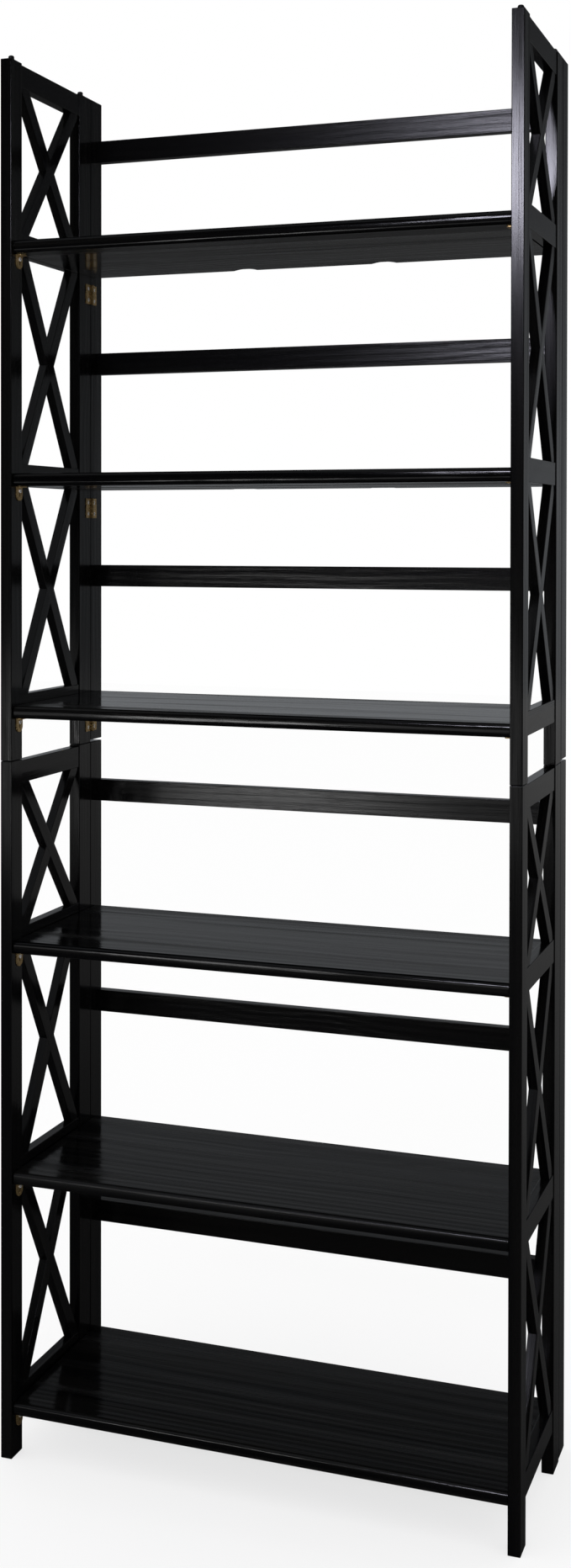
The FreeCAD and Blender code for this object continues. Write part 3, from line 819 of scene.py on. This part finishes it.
@dataclass
class Workshop:
    """What every sub-assembly needs: the materials, the repeating nodes and the grain marks."""

    materials: dict[Finish, Material]
    repeat: Repeat
    grain_step: Point = (0.83, 0.031, 0.023)
    across_cycle: int = 7
    through_cycle: int = 5
    marked: int = 0

    def mark(self, solid: Solid, to_board: Matrix) -> Solid:
        """Write a board's grain coordinates to its corners, so that no two boards look the same.

        Args:
            solid: The board.
            to_board: The turn from the bookcase's axes to the board's own.

        Returns:
            The same board.
        """
        self.marked += 1
        steps = (
            self.marked,
            self.marked % self.across_cycle - self.across_cycle // 2,
            self.marked % self.through_cycle,
        )
        shift = Vector([size * number for size, number in zip(self.grain_step, steps)])
        middle = sum((vert.co for vert in solid.verts), Vector()) / len(solid.verts)
        layer = solid.verts.layers.float_vector.new("grain")
        for vert in solid.verts:
            vert[layer] = to_board @ (vert.co - middle) + shift
        return solid

    def wooden(
        self, node: str, body: str, solid: Solid, grain: Axis, finish: Finish = Finish.WOOD
    ) -> None:
        """Paint a board and put it in place of its node.

        Args:
            node: The node that it stands for.
            body: The body that it moves with.
            solid: The board.
            grain: The axis that its grain follows.
            finish: The paint.
        """
        made = object_of(f"{node}_{finish.word}", self.mark(solid, grain.to_board))
        made.data.materials.append(self.materials[finish])
        hand_over(made, finish, body, node)

    def set_of(
        self, node: str, body: str, finish: Finish, pieces: Sequence[tuple[Solid, Layout]]
    ) -> None:
        """Make a set of small pieces and put it in place of its node.

        Args:
            node: The node that it stands for.
            body: The body that it moves with.
            finish: The finish of the set.
            pieces: Each piece about its own origin, with the places of its copies.
        """
        made = []
        for solid, layout in pieces:
            piece = object_of("master", solid)
            made.append(self.repeat.place(f"{node}_{finish.word}", piece, self.materials[finish], layout))
            discard(piece)
        hand_over(merged(made), finish, body, node)


# Sub-assemblies
@dataclass
class Part:
    """What every sub-assembly has: its workshop, its unit, and the names and heights in it."""

    shop: Workshop
    unit: str

    @property
    def frame(self) -> str:
        """The body of what doesn't move within the unit."""
        return f"{self.unit}_frame"

    def node(self, name: str) -> str:
        """The name of a node of the unit."""
        return f"{self.unit}_{name}"

    def shelf_levels(self, corner: int) -> list[float]:
        """Heights of the shelves' lower faces, or of their upper ones with corner 1."""
        return [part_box(self.node(f"{row}_shelf"))[corner].z for row in ROWS]


@dataclass
class Shelf(Part):
    """A shelf with a rounded front edge, pivot bores in its ends and two shallow rear notches."""

    row: str
    nose_face: float = 8 * MM
    nose_crown: float = 28 * MM
    nose_steps: int = 8
    rear_arris: float = 2 * MM
    pivot_radius: float = 3.08 * MM
    pivot_reach: float = 14.5 * MM
    pivot_from_rear: float = 9 * MM
    notch_offset: float = 101 * MM
    notch_width: float = 36 * MM
    notch_rise: float = 2.6 * MM
    notch_reach: float = 16 * MM
    notch_steps: int = 6

    def build(self) -> None:
        """Make the shelf and paint it."""
        solid = carve(self.blank(), joined(self.cutters()))
        node = self.node(f"{self.row}_shelf")
        self.shop.wooden(node, f"{node}_body", solid, Axis.X, Finish.SHELF)

    @property
    def box(self) -> tuple[Vector, Vector]:
        """The lower and the upper corner of the shelf."""
        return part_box(self.node(f"{self.row}_shelf"))

    def blank(self) -> Solid:
        """The shelf with its rounded edges, before its bores and notches are cut.

        Returns:
            The solid.
        """
        low, high = self.box
        outline = [*self.nose(), (high.y, high.z), (high.y, low.z)]
        solid = prism(outline, low.x, high.x, Axis.X)
        middle = (low.y + high.y) / 2
        ease_edges(solid, self.rear_arris, 4, Axis.X.way, lambda place: place.y > middle)
        return solid

    def nose(self) -> list[Point]:
        """Outline of the front edge: a slightly crowned face between two round corners.

        Returns:
            Pairs of Y and Z from the lower face to the upper face.
        """
        low, high = self.box
        middle = (low.z + high.z) / 2
        half = self.nose_face / 2
        reach = math.asin(half / self.nose_crown)
        radius = (high.z - middle - half) / (1 - math.sin(reach))
        steps = self.nose_steps
        crown = [reach * (number / steps - 1) for number in range(2 * steps + 1)]
        corner = [reach + (math.pi / 2 - reach) * number / steps for number in range(1, steps + 1)]
        face = [(self.nose_crown * (1 - math.cos(turn)), self.nose_crown * math.sin(turn)) for turn in crown]
        back, up = face[-1]
        back += radius * math.cos(reach)
        up -= radius * math.sin(reach)
        top = [(back - radius * math.cos(turn), up + radius * math.sin(turn)) for turn in corner]
        bottom = [(across, -rise) for across, rise in reversed(top)]
        return [(low.y + across, middle + rise) for across, rise in (*bottom, *face, *top)]

    def cutters(self) -> list[Solid]:
        """What is cut away: a bore in each end and two notches in the rear of the lower face.

        Returns:
            The cutters, one by one.
        """
        low, high = self.box
        pivot = (0, high.y - self.pivot_from_rear, (low.z + high.z) / 2)
        made = []
        for side in Side:
            ends = side.value * (high.x + OVERCUT), side.value * (high.x - self.pivot_reach)
            made.append(moved(rod(self.pivot_radius, *ends, Axis.X), pivot))
            made.append(self.notch(side.value * self.notch_offset))
        return made

    def notch(self, middle: float) -> Solid:
        """The cutter of a notch, whose arc meets the lower face over the notch's width.

        Args:
            middle: The middle of the notch on X.

        Returns:
            The cutter.
        """
        low, high = self.box
        half = self.notch_width / 2
        radius = (half * half + self.notch_rise * self.notch_rise) / 2 / self.notch_rise
        reach = math.asin(half / radius)
        top = low.z + self.notch_rise
        outline = [(middle - half, low.z - OVERCUT), (middle + half, low.z - OVERCUT)]
        for number in range(2 * self.notch_steps + 1):
            angle = reach * (1 - number / self.notch_steps)
            outline.append((middle + radius * math.sin(angle), top - radius * (1 - math.cos(angle))))
        return prism(outline, high.y - self.notch_reach, high.y + OVERCUT, Axis.Y)


@dataclass
class SideFrame(Part):
    """One side of a unit: two posts, a back stile, four rails and three X braces."""

    side: Side
    post_arris: float = 1 * MM
    rail_arris: float = 0.8 * MM
    slat_arris: float = 0.8 * MM
    socket_radius: float = 4.5 * MM
    socket_depth: float = 10 * MM
    socket_sides: int = 32
    rail_height: float = 30 * MM
    rail_rise: float = 13 * MM
    slat_width: float = 20 * MM
    slat_thickness: float = 12 * MM
    rail_grain: Point = (0.47, 0.013, 0.009)
    slat_grain: Point = (0.61, 0.017, 0.011)

    def own(self, name: str) -> str:
        """The name of a node of this side."""
        return self.node(f"{self.side.word}_{name}")

    def build(self) -> None:
        """Make every wooden piece of the side frame."""
        for name, grain, arris in (
            ("front_post", Axis.Z, self.post_arris),
            ("rear_post", Axis.Z, self.post_arris),
            ("stile", Axis.Z, self.post_arris),
            ("top_rail", Axis.Y, self.rail_arris),
        ):
            low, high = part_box(self.own(name))
            solid = Board(low, high, grain, arris, eased_ends=grain is Axis.Z).solid()
            if name.endswith("post"):
                solid = carve(solid, self.socket(low, high))
            self.shop.wooden(self.own(name), self.frame, solid, grain)
        self.build_shelf_rails()
        for rising in (True, False):
            self.build_slats(rising)

    def socket(self, low: Vector, high: Vector) -> Solid:
        """The cutter of the socket under a post's foot.

        Args:
            low: The lower corner of the post's box.
            high: Its upper corner.

        Returns:
            The cutter.
        """
        ends = low.z - OVERCUT, low.z + self.socket_depth
        bore = rod(self.socket_radius, *ends, Axis.Z, self.socket_sides)
        return moved(bore, ((low.x + high.x) / 2, (low.y + high.y) / 2, 0))

    def build_shelf_rails(self) -> None:
        """Make the three rails beside the shelves from one rail."""
        node = self.own("shelf_rails")
        low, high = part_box(node)
        bottom, middle, _ = self.shelf_levels(1)
        half = (high - low) / 2
        half.z = self.rail_height / 2
        solid = self.shop.mark(Board(-half, half, Axis.Y, self.rail_arris).solid(), Axis.Y.to_board)
        place = (low + high) / 2
        place.z = bottom + self.rail_rise - half.z
        layout = Layout(place, (0, 0, middle - bottom), grain_step=self.rail_grain)
        self.shop.set_of(node, self.frame, Finish.WOOD, [(solid, layout)])

    def bays(self) -> list[tuple[float, float]]:
        """Lower and upper height of the open bay above each shelf rail.

        Returns:
            The bays from the bottom up.
        """
        floors = [surface + self.rail_rise for surface in self.shelf_levels(1)]
        ceilings = [floor - self.rail_height for floor in floors[1:]]
        ceilings.append(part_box(self.own("top_rail"))[0].z)
        return list(zip(floors, ceilings))

    def build_slats(self, rising: bool) -> None:
        """Make the slats of one lean: the two equal lower bays from one slat, and the top bay's.

        Args:
            rising: Whether the slats rise to the back.
        """
        node = self.own("rising_slats" if rising else "falling_slats")
        bays = self.bays()
        row_step = (0, 0, bays[1][0] - bays[0][0])
        low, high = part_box(node)
        pieces = []
        for (floor, ceiling), rows in ((bays[0], 2), (bays[2], 1)):
            solid = self.slat(((high.y - low.y) / 2, (ceiling - floor) / 2), rising)
            start = ((low.x + high.x) / 2, (low.y + high.y) / 2, (floor + ceiling) / 2)
            layout = Layout(start, row_step, rows, grain_step=self.slat_grain)
            pieces.append((solid, layout))
        self.shop.set_of(node, self.frame, Finish.WOOD, pieces)

    def outline(self, half: Point, rising: bool) -> list[Point]:
        """Outline of a slat whose outer edges start in opposite corners of a bay about its middle.

        Args:
            half: Half the depth and half the height of the bay.
            rising: Whether the slat rises to the back.

        Returns:
            The corners, as pairs of Y and Z.
        """
        lean = 1 if rising else -1
        depth, height, width = 2 * half[0], 2 * half[1], self.slat_width
        edge = math.sqrt(depth * depth + height * height - width * width)
        foot = width * (height * edge - width * depth) / (height * height - width * width)
        corners = [(-half[0], -half[1]), (foot - half[0], -half[1]), half, (half[0] - foot, half[1])]
        return [(across * lean, up) for across, up in corners]

    def slat(self, half: Point, rising: bool) -> Solid:
        """A slat about the middle of its bay, half lapped where the other one crosses it.

        Args:
            half: Half the depth and half the height of the bay.
            rising: Whether the slat rises to the back.

        Returns:
            The slat, marked with its grain.
        """
        outline = self.outline(half, rising)
        run = Vector((0, *outline[2])) - Vector((0, *outline[1]))
        run.normalize()
        thick = self.slat_thickness / 2
        solid = prism(outline, -thick, thick, Axis.X)
        ease_edges(solid, self.slat_arris, 2, run)
        inner = (self.side is Side.LEFT) == rising
        lap = (0.0, thick + OVERCUT) if inner else (-thick - OVERCUT, 0.0)
        solid = carve(solid, prism(self.outline(half, not rising), *lap, Axis.X))
        through = Axis.X.way
        return self.shop.mark(solid, Matrix((run, run.cross(through), through)))


@dataclass
class BackRails(Part):
    """The three rails between the back stiles of a unit."""

    arris: float = 0.8 * MM

    def build(self) -> None:
        """Make and paint the three rails."""
        for row in ROWS:
            node = self.node(f"{row}_back_rail")
            solid = Board(*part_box(node), Axis.X, self.arris).solid()
            self.shop.wooden(node, self.frame, solid, Axis.X, Finish.RAIL)


@dataclass
class Hardware(Part):
    """The hinges, shelf supports, screws and pins of a unit."""

    inner_x: float = 333 * MM
    play: float = 0.05 * MM
    hinge_y: float = 107.5 * MM
    hinge_drop: float = 12 * MM
    hinge_height: float = 28 * MM
    leaf_width: float = 18 * MM
    leaf_thickness: float = 1.2 * MM
    leaf_arris: float = 0.2 * MM
    knuckle_radius: float = 2.5 * MM
    knuckle_gap: float = 0.2 * MM
    knuckle_degrees: float = 290
    hinge_pin_radius: float = 1.2 * MM
    hinge_pin_sides: int = 20
    cap_radius: float = 2 * MM
    cap_height: float = 0.8 * MM
    cap_shoulder: Point = (0.85, 0.6)
    leaf_screw_offset: float = 10 * MM
    leaf_screw_pitch: float = 16 * MM
    screw_radius: float = 1.4 * MM
    screw_length: float = 12 * MM
    screw_point: float = 3 * MM
    flat_head_radius: float = 2.7 * MM
    flat_head_rim: float = 0.1 * MM
    round_head_radius: float = 2.9 * MM
    round_head_height: float = 1.8 * MM
    round_head_rim: float = 0.4 * MM
    recess_length: float = 3.2 * MM
    recess_width: float = 0.7 * MM
    recess_depth: float = 0.8 * MM
    support_y: float = -124 * MM
    support_width: float = 17 * MM
    support_height: float = 19 * MM
    support_reach: float = 9 * MM
    support_thickness: float = 1.5 * MM
    support_gap: float = 0.3 * MM
    support_screw_drop: float = 6 * MM
    support_foot_flat: float = 1 * MM
    support_tip_radius: float = 3 * MM
    support_bend_radius: float = 1.2 * MM
    slot_radius: float = 1.6 * MM
    slot_travel: float = 6 * MM
    pin_radius: float = 4 * MM
    pin_proud: float = 7 * MM
    pin_rounding: float = 2.5 * MM
    pin_sides: int = 32
    shank_radius: float = 3 * MM
    shank_depth: float = 12 * MM

    def build(self) -> None:
        """Make every metal piece of the unit."""
        underside = self.shelf_levels(0)[0]
        level = underside - self.hinge_drop - self.hinge_height / 2
        hinge = (self.knuckle_radius - self.inner_x, self.hinge_y, level)
        over = (0, math.pi, 0)
        for name, make in (
            ("hinge_post_leaves", lambda: self.leaf(-1)),
            ("hinge_stile_leaves", lambda: self.leaf(1)),
            ("hinge_pins", self.hinge_pin),
        ):
            self.rows(name, make, Finish.BRASS, [hinge], turn=over)
        face = self.leaf_thickness - self.inner_x
        level -= self.leaf_screw_pitch / 2
        seats = [(face, self.hinge_y + lean * self.leaf_screw_offset, level) for lean in (-1, 1)]
        pitch = (0, 0, self.leaf_screw_pitch)
        self.rows(
            "hinge_screws", self.flat_screw, Finish.STEEL, seats, columns=2, column_step=pitch
        )
        flange = underside - self.support_gap
        corner = (-self.inner_x, self.support_y, flange)
        self.rows("shelf_supports", self.support, Finish.BRASS, [corner])
        seat = (self.support_thickness - self.inner_x, self.support_y, flange - self.support_screw_drop)
        self.rows("support_screws", self.round_screw, Finish.STEEL, [seat])
        posts = [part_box(self.node(f"left_{name}_post")) for name in ("front", "rear")]
        front, rear = ((low + high) / 2 for low, high in posts)
        top = (front.x, front.y, posts[0][1].z)
        step = (0, rear.y - front.y, 0)
        self.rows(
            "stacking_pins", self.stacking_pin, Finish.PIN, [top], rows=1, columns=2, column_step=step
        )

    def rows(
        self,
        name: str,
        make: Callable[[], Solid],
        finish: Finish,
        starts: Sequence[Point],
        turn: Point = (0, 0, math.pi),
        **more: object,
    ) -> None:
        """Repeat a piece on both sides of the unit and put the set in place of its node.

        Args:
            name: The node's name within the unit.
            make: Makes the piece, about its own origin on the left side.
            finish: The finish of the set.
            starts: The places of the lowest ones.
            turn: The turn that makes a left piece a right one.
            **more: What differs from one piece at each shelf.
        """
        bottom, middle, _ = self.shelf_levels(0)
        row_step = (0, 0, middle - bottom)
        pieces = [(make(), Layout(start, row_step, both_sides=True, turn=turn, **more)) for start in starts]
        self.shop.set_of(self.node(name), self.frame, finish, pieces)

    def leaf(self, lean: int) -> Solid:
        """A hinge leaf with rolled knuckles, about the middle of its pin.

        Args:
            lean: -1 for the leaf on the post, 1 for the leaf on the stile.

        Returns:
            The leaf of a left hinge.
        """
        outer, inner = self.knuckle_radius, self.hinge_pin_radius + self.play
        face = self.leaf_thickness - outer
        root = outer + self.knuckle_gap
        half = self.hinge_height / 2
        ends = sorted((root * lean, self.leaf_width * lean))
        outline = [(-outer, ends[0]), (face, ends[0]), (face, ends[1]), (-outer, ends[1])]
        plate = prism(outline, -half, half, Axis.Z)
        ease_edges(plate, self.leaf_arris, 2, within=lambda place: place.x > self.leaf_arris / 2 - outer)
        head = self.flat_head_radius + self.play
        holes = []
        for level in (-self.leaf_screw_pitch / 2, self.leaf_screw_pitch / 2):
            hole = turned([
                (0, -outer - OVERCUT),
                (self.screw_radius, -outer - OVERCUT),
                (self.screw_radius, -outer),
                (head, face),
                (head, face + OVERCUT),
                (0, face + OVERCUT),
            ])
            holes.append(moved(hole, (0, self.leaf_screw_offset * lean, level)))
        pieces = [carve(plate, joined(holes))]
        turns = [math.pi - math.radians(self.knuckle_degrees * number / 20) for number in range(21)]
        roll = [
            (-outer, root),
            (-outer, 0),
            *((outer * math.cos(turn), outer * math.sin(turn)) for turn in turns[1:]),
            *((inner * math.cos(turn), inner * math.sin(turn)) for turn in reversed(turns)),
            (face, root),
        ]
        curl = [(across, -up * lean) for across, up in roll]
        third = self.hinge_height / 3
        for number in (0, 2) if lean < 0 else (1,):
            level = -half + third * number + self.knuckle_gap / 2
            pieces.append(prism(curl, level, level + third - self.knuckle_gap, Axis.Z))
        return joined(pieces)

    def hinge_pin(self) -> Solid:
        """The pin of a hinge about its middle, with a domed cap at each end.

        Returns:
            The pin, which stands along Z.
        """
        half = self.hinge_height / 2
        upper = [
            (self.hinge_pin_radius, half),
            (self.cap_radius, half),
            (self.cap_radius * self.cap_shoulder[0], half + self.cap_height * self.cap_shoulder[1]),
            (0, half + self.cap_height),
        ]
        lower = [(radius, -level) for radius, level in reversed(upper)]
        return turned([*lower, *upper], Axis.Z, self.hinge_pin_sides)

    def cross(self, face: float) -> Solid:
        """The cutter of a cross recess whose mouth lies at a place on X.

        Args:
            face: The place of the mouth.

        Returns:
            The cutter.
        """
        long, short = self.recess_length / 2, self.recess_width / 2
        arm = [(long, -short), (long, short), (short, short)]
        outline = []
        for _ in range(4):
            outline += arm
            arm = [(-up, across) for across, up in arm]
        return prism(outline, face - self.recess_depth, face + OVERCUT, Axis.X)

    def screw(self, plate: float, neck: float, head: Sequence[Point]) -> Solid:
        """A cross-headed screw along X, with its point at -X.

        Args:
            plate: The thickness of what it holds.
            neck: Where the shank meets the head.
            head: Profile of the head.

        Returns:
            The screw.
        """
        tip = -plate - self.screw_length
        shank = [(0, tip), (self.screw_radius, tip + self.screw_point), (self.screw_radius, neck)]
        return carve(turned([*shank, *head]), self.cross(head[-1][1]))

    def flat_screw(self) -> Solid:
        """A countersunk screw whose head is level with X = 0.

        Returns:
            The screw.
        """
        radius, rim = self.flat_head_radius, self.flat_head_rim
        head = [(radius, -rim), (radius - rim, 0), (0, 0)]
        return self.screw(self.leaf_thickness, -self.leaf_thickness, head)

    def round_screw(self) -> Solid:
        """A round-headed screw seated on X = 0.

        Returns:
            The screw.
        """
        radius, rim, height = self.round_head_radius, self.round_head_rim, self.round_head_height
        head = [(radius, 0), *rounding(radius, rim, height - rim, 6), (0, height)]
        return self.screw(self.support_thickness, 0, head)

    def support(self) -> Solid:
        """A shelf support: its flange level with Z = 0 and its back on X = 0.

        Returns:
            The support.
        """
        thick, half = self.support_thickness, self.support_width / 2
        wall = [(0, 0), (0, -self.support_height), (thick, -self.support_height), (thick, -thick)]
        flange = [(self.support_reach, -thick), (self.support_reach, 0)]
        solid = prism([*wall, *flange], -half, half, Axis.Y)
        foot = -self.support_height + thick / 2
        tip = self.support_reach - thick / 2
        bend = self.support_bend_radius
        ease_edges(solid, half - self.support_foot_flat / 2, 8, Axis.X.way, lambda place: place.z < foot)
        ease_edges(solid, self.support_tip_radius, 5, Axis.Z.way, lambda place: place.x > tip)
        ease_edges(solid, bend, 5, Axis.Y.way, lambda place: place.x - place.z < thick / 2)
        slot = []
        for number in range(SIDES):
            angle = math.tau * (number + 0.5) / SIDES
            level = -self.support_screw_drop - (self.slot_travel if angle > math.pi else 0)
            slot.append((self.slot_radius * math.cos(angle), level + self.slot_radius * math.sin(angle)))
        return carve(solid, prism(slot, -OVERCUT, thick + OVERCUT, Axis.X))

    def stacking_pin(self) -> Solid:
        """A stacking pin whose rounded head is seated on Z = 0.

        Returns:
            The pin with its shank.
        """
        bend = self.pin_rounding
        return turned([
            (0, -self.shank_depth),
            (self.shank_radius, -self.shank_depth),
            (self.shank_radius, 0),
            (self.pin_radius, 0),
            *rounding(self.pin_radius, self.pin_proud - bend, bend, 8),
            (0, self.pin_proud),
        ], Axis.Z, self.pin_sides)


class Unit(Part):
    """One of the two stacked units."""

    def build(self) -> None:
        """Make every sub-assembly of the unit and dress what stays of its nodes."""
        for side in Side:
            SideFrame(self.shop, self.unit, side).build()
        BackRails(self.shop, self.unit).build()
        for row in ROWS:
            Shelf(self.shop, self.unit, row).build()
        Hardware(self.shop, self.unit).build()
        for name, finish in (("dowels", Finish.DOWEL), ("shelf_pivot_pins", Finish.STEEL)):
            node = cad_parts[self.node(name)]
            node.data.materials.clear()
            node.data.materials.append(self.shop.materials[finish])
            LOG.info("%s: kept, in %s", node.name, finish.name.lower())


# The studio
@dataclass(frozen=True)
class Lamp:
    """A soft rectangular lamp, seen only in reflections."""

    name: str
    place: Point
    size: Point
    power: float
    colour: Point = (1.0, 1.0, 1.0)

    def hang(self, target: Point) -> None:
        """Hang the lamp.

        Args:
            target: The place that it is aimed at.
        """
        data = bpy.data.lights.new(self.name, "AREA")
        data.shape = "RECTANGLE"
        data.size, data.size_y = self.size
        data.energy = self.power
        data.color = self.colour
        made = linked_object(self.name, data)
        made.location = self.place
        made.rotation_euler = (Vector(target) - Vector(self.place)).to_track_quat("-Z", "Y").to_euler()
        made.visible_camera = False


@dataclass
class Studio:
    """The floor, the light and the camera of the picture.

    The ramps give the tones of the room and the floor in reflections. Those of the room are read
    along a direction, and those of the floor at a place.
    """

    camera_place: Point = (0.7966, -2.3796, 1.2294)
    camera_turn: Point = (0.01136, 0.00305, -0.36137)
    camera_reach: float = 100.0
    sensor_width: float = 36.0
    focal_pixels: float = 2235.6
    principal: Point = (253.3, 663.2)
    picture: Point = (679, 1864)
    lamps: Sequence[Lamp] = (
        Lamp("soft_lamp", (-0.29, -4.0, 2.42), (0.89, 0.365), 21.2, (0.86, 0.85, 1.0)),
        Lamp("low_lamp", (-0.9, -2.45, 0.62), (0.55, 0.3), 2.2),
        Lamp("pale_panel", (-0.85, -2.46, 0.66), (1.6, 0.5), 1.1),
    )
    lamp_target: Point = (0.0, 0.0, 1.2)
    dim_colour: Point = (0.91, 0.95, 1, 1)
    room: Sequence[Ramp] = (
        Ramp(Axis.Y, (-0.25, 0.006), (0.45, 0.22)),
        Ramp(Axis.Z, (0.0, 1.36), (0.46, 0.12)),
        Ramp(Axis.X, (-0.1, 1.0), (0.45, 0.34)),
    )
    dark_below: Sequence[Ramp] = (
        Ramp(Axis.Z, (-0.08, 1.0), (0.02, 0.0)),
        Ramp(Axis.X, (-0.2, 0.78), (0.15, 0.3)),
    )
    dark_right: Sequence[Ramp] = (
        Ramp(Axis.X, (0.05, 0.0), (0.12, 1.0)),
        Ramp(Axis.Z, (-0.08, -0.1), (0.25, 0.5)),
    )
    ceiling: Sequence[Ramp] = (
        Ramp(Axis.Z, (0.5, 0.0), (0.62, 0.17)),
        Ramp(Axis.Y, (-0.2, 1.0), (0.1, 0.0)),
    )
    floor_tone: Sequence[Ramp] = (
        Ramp(Axis.Y, (0.5, 0.03), (12.0, 0.085)),
        Ramp(Axis.X, (-5.0, 0.4), (-1.0, 1.0)),
        Ramp(Axis.X, (0.0, 1.0), (1.0, 2.2)),
    )
    floor_half: float = 12.0
    floor_glow: float = 0.72
    paper: Point = (0.95, 0.95, 0.95, 1)

    def build(self) -> None:
        """Set up the whole studio."""
        self.build_camera()
        self.build_world()
        for lamp in self.lamps:
            lamp.hang(self.lamp_target)
        self.build_floor()
        bpy.context.scene.view_settings.view_transform = "Standard"

    def build_camera(self) -> None:
        """Place the camera where the photograph was taken from."""
        data = bpy.data.cameras.new("camera")
        width, height = self.picture
        longest = max(width, height)
        data.sensor_fit = "AUTO"
        data.sensor_width = self.sensor_width
        data.lens = self.focal_pixels / longest * self.sensor_width
        data.shift_x = (width / 2 - self.principal[0]) / longest
        data.shift_y = (self.principal[1] - height / 2) / longest
        data.clip_end = self.camera_reach
        turn = Vector(self.camera_turn)
        to_camera = Matrix.Rotation(turn.length, 3, turn.normalized())
        axes = Matrix(((1, 0, 0), (0, 0, -1), (0, 1, 0)))
        made = linked_object("camera", data)
        made.matrix_world = Matrix.Translation(self.camera_place) @ (to_camera.transposed() @ axes).to_4x4()
        bpy.context.scene.camera = made

    def build_world(self) -> None:
        """Light the room evenly, white to the eye and dim in reflections, as in a dark studio."""
        world = bpy.data.worlds.new("studio_room")
        bpy.context.scene.world = world
        tree = Tree(world)
        ray = tree.add("ShaderNodeLightPath").outputs
        direction = tree.add("ShaderNodeTexCoord").outputs["Generated"]
        shine = tree.tone(direction, self.room)
        for dark in (self.dark_below, self.dark_right):
            shine = tree.math("MULTIPLY", shine, tree.math("SUBTRACT", 1.0, tree.tone(direction, dark)))
        shine = tree.math("ADD", shine, tree.tone(direction, self.ceiling))
        room = tree.result("ShaderNodeBackground", {"Color": WHITE, "Strength": 1.0})
        dim = tree.result("ShaderNodeBackground", {"Color": self.dim_colour, "Strength": shine})
        tree.add("ShaderNodeOutputWorld", {"Surface": tree.either(ray["Is Glossy Ray"], room, dim)})

    def build_floor(self) -> None:
        """Lay a white floor that keeps the bookcase's shadow and looks dim in reflections."""
        solid = bmesh.new()
        for across, back in ((-1, -1), (1, -1), (1, 1), (-1, 1)):
            solid.verts.new((across * self.floor_half, back * self.floor_half, 0))
        solid.faces.new(solid.verts)
        floor = object_of("floor", solid)
        made, tree = new_material("white_floor")
        ray = tree.add("ShaderNodeLightPath").outputs
        paper = tree.result("ShaderNodeBsdfDiffuse", {"Color": self.paper})
        glow = tree.result("ShaderNodeEmission", {"Color": WHITE, "Strength": 1.0})
        white = tree.either(tree.math("MULTIPLY", ray["Is Camera Ray"], self.floor_glow), paper, glow)
        tone = tree.tone(tree.own_place(), self.floor_tone)
        dim = tree.result("ShaderNodeBsdfDiffuse", {"Color": tone})
        tree.add("ShaderNodeOutputMaterial", {"Surface": tree.either(ray["Is Glossy Ray"], white, dim)})
        floor.data.materials.append(made)


def main() -> None:
    """Build the studio and both units."""
    logging.basicConfig(level=logging.INFO, format="%(name)s: %(message)s")
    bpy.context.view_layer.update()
    Studio().build()
    shop = Workshop({finish: finish.material() for finish in Finish}, Repeat())
    for unit in ("lower", "upper"):
        Unit(shop, unit).build()


if __name__ == "__main__":
    main()
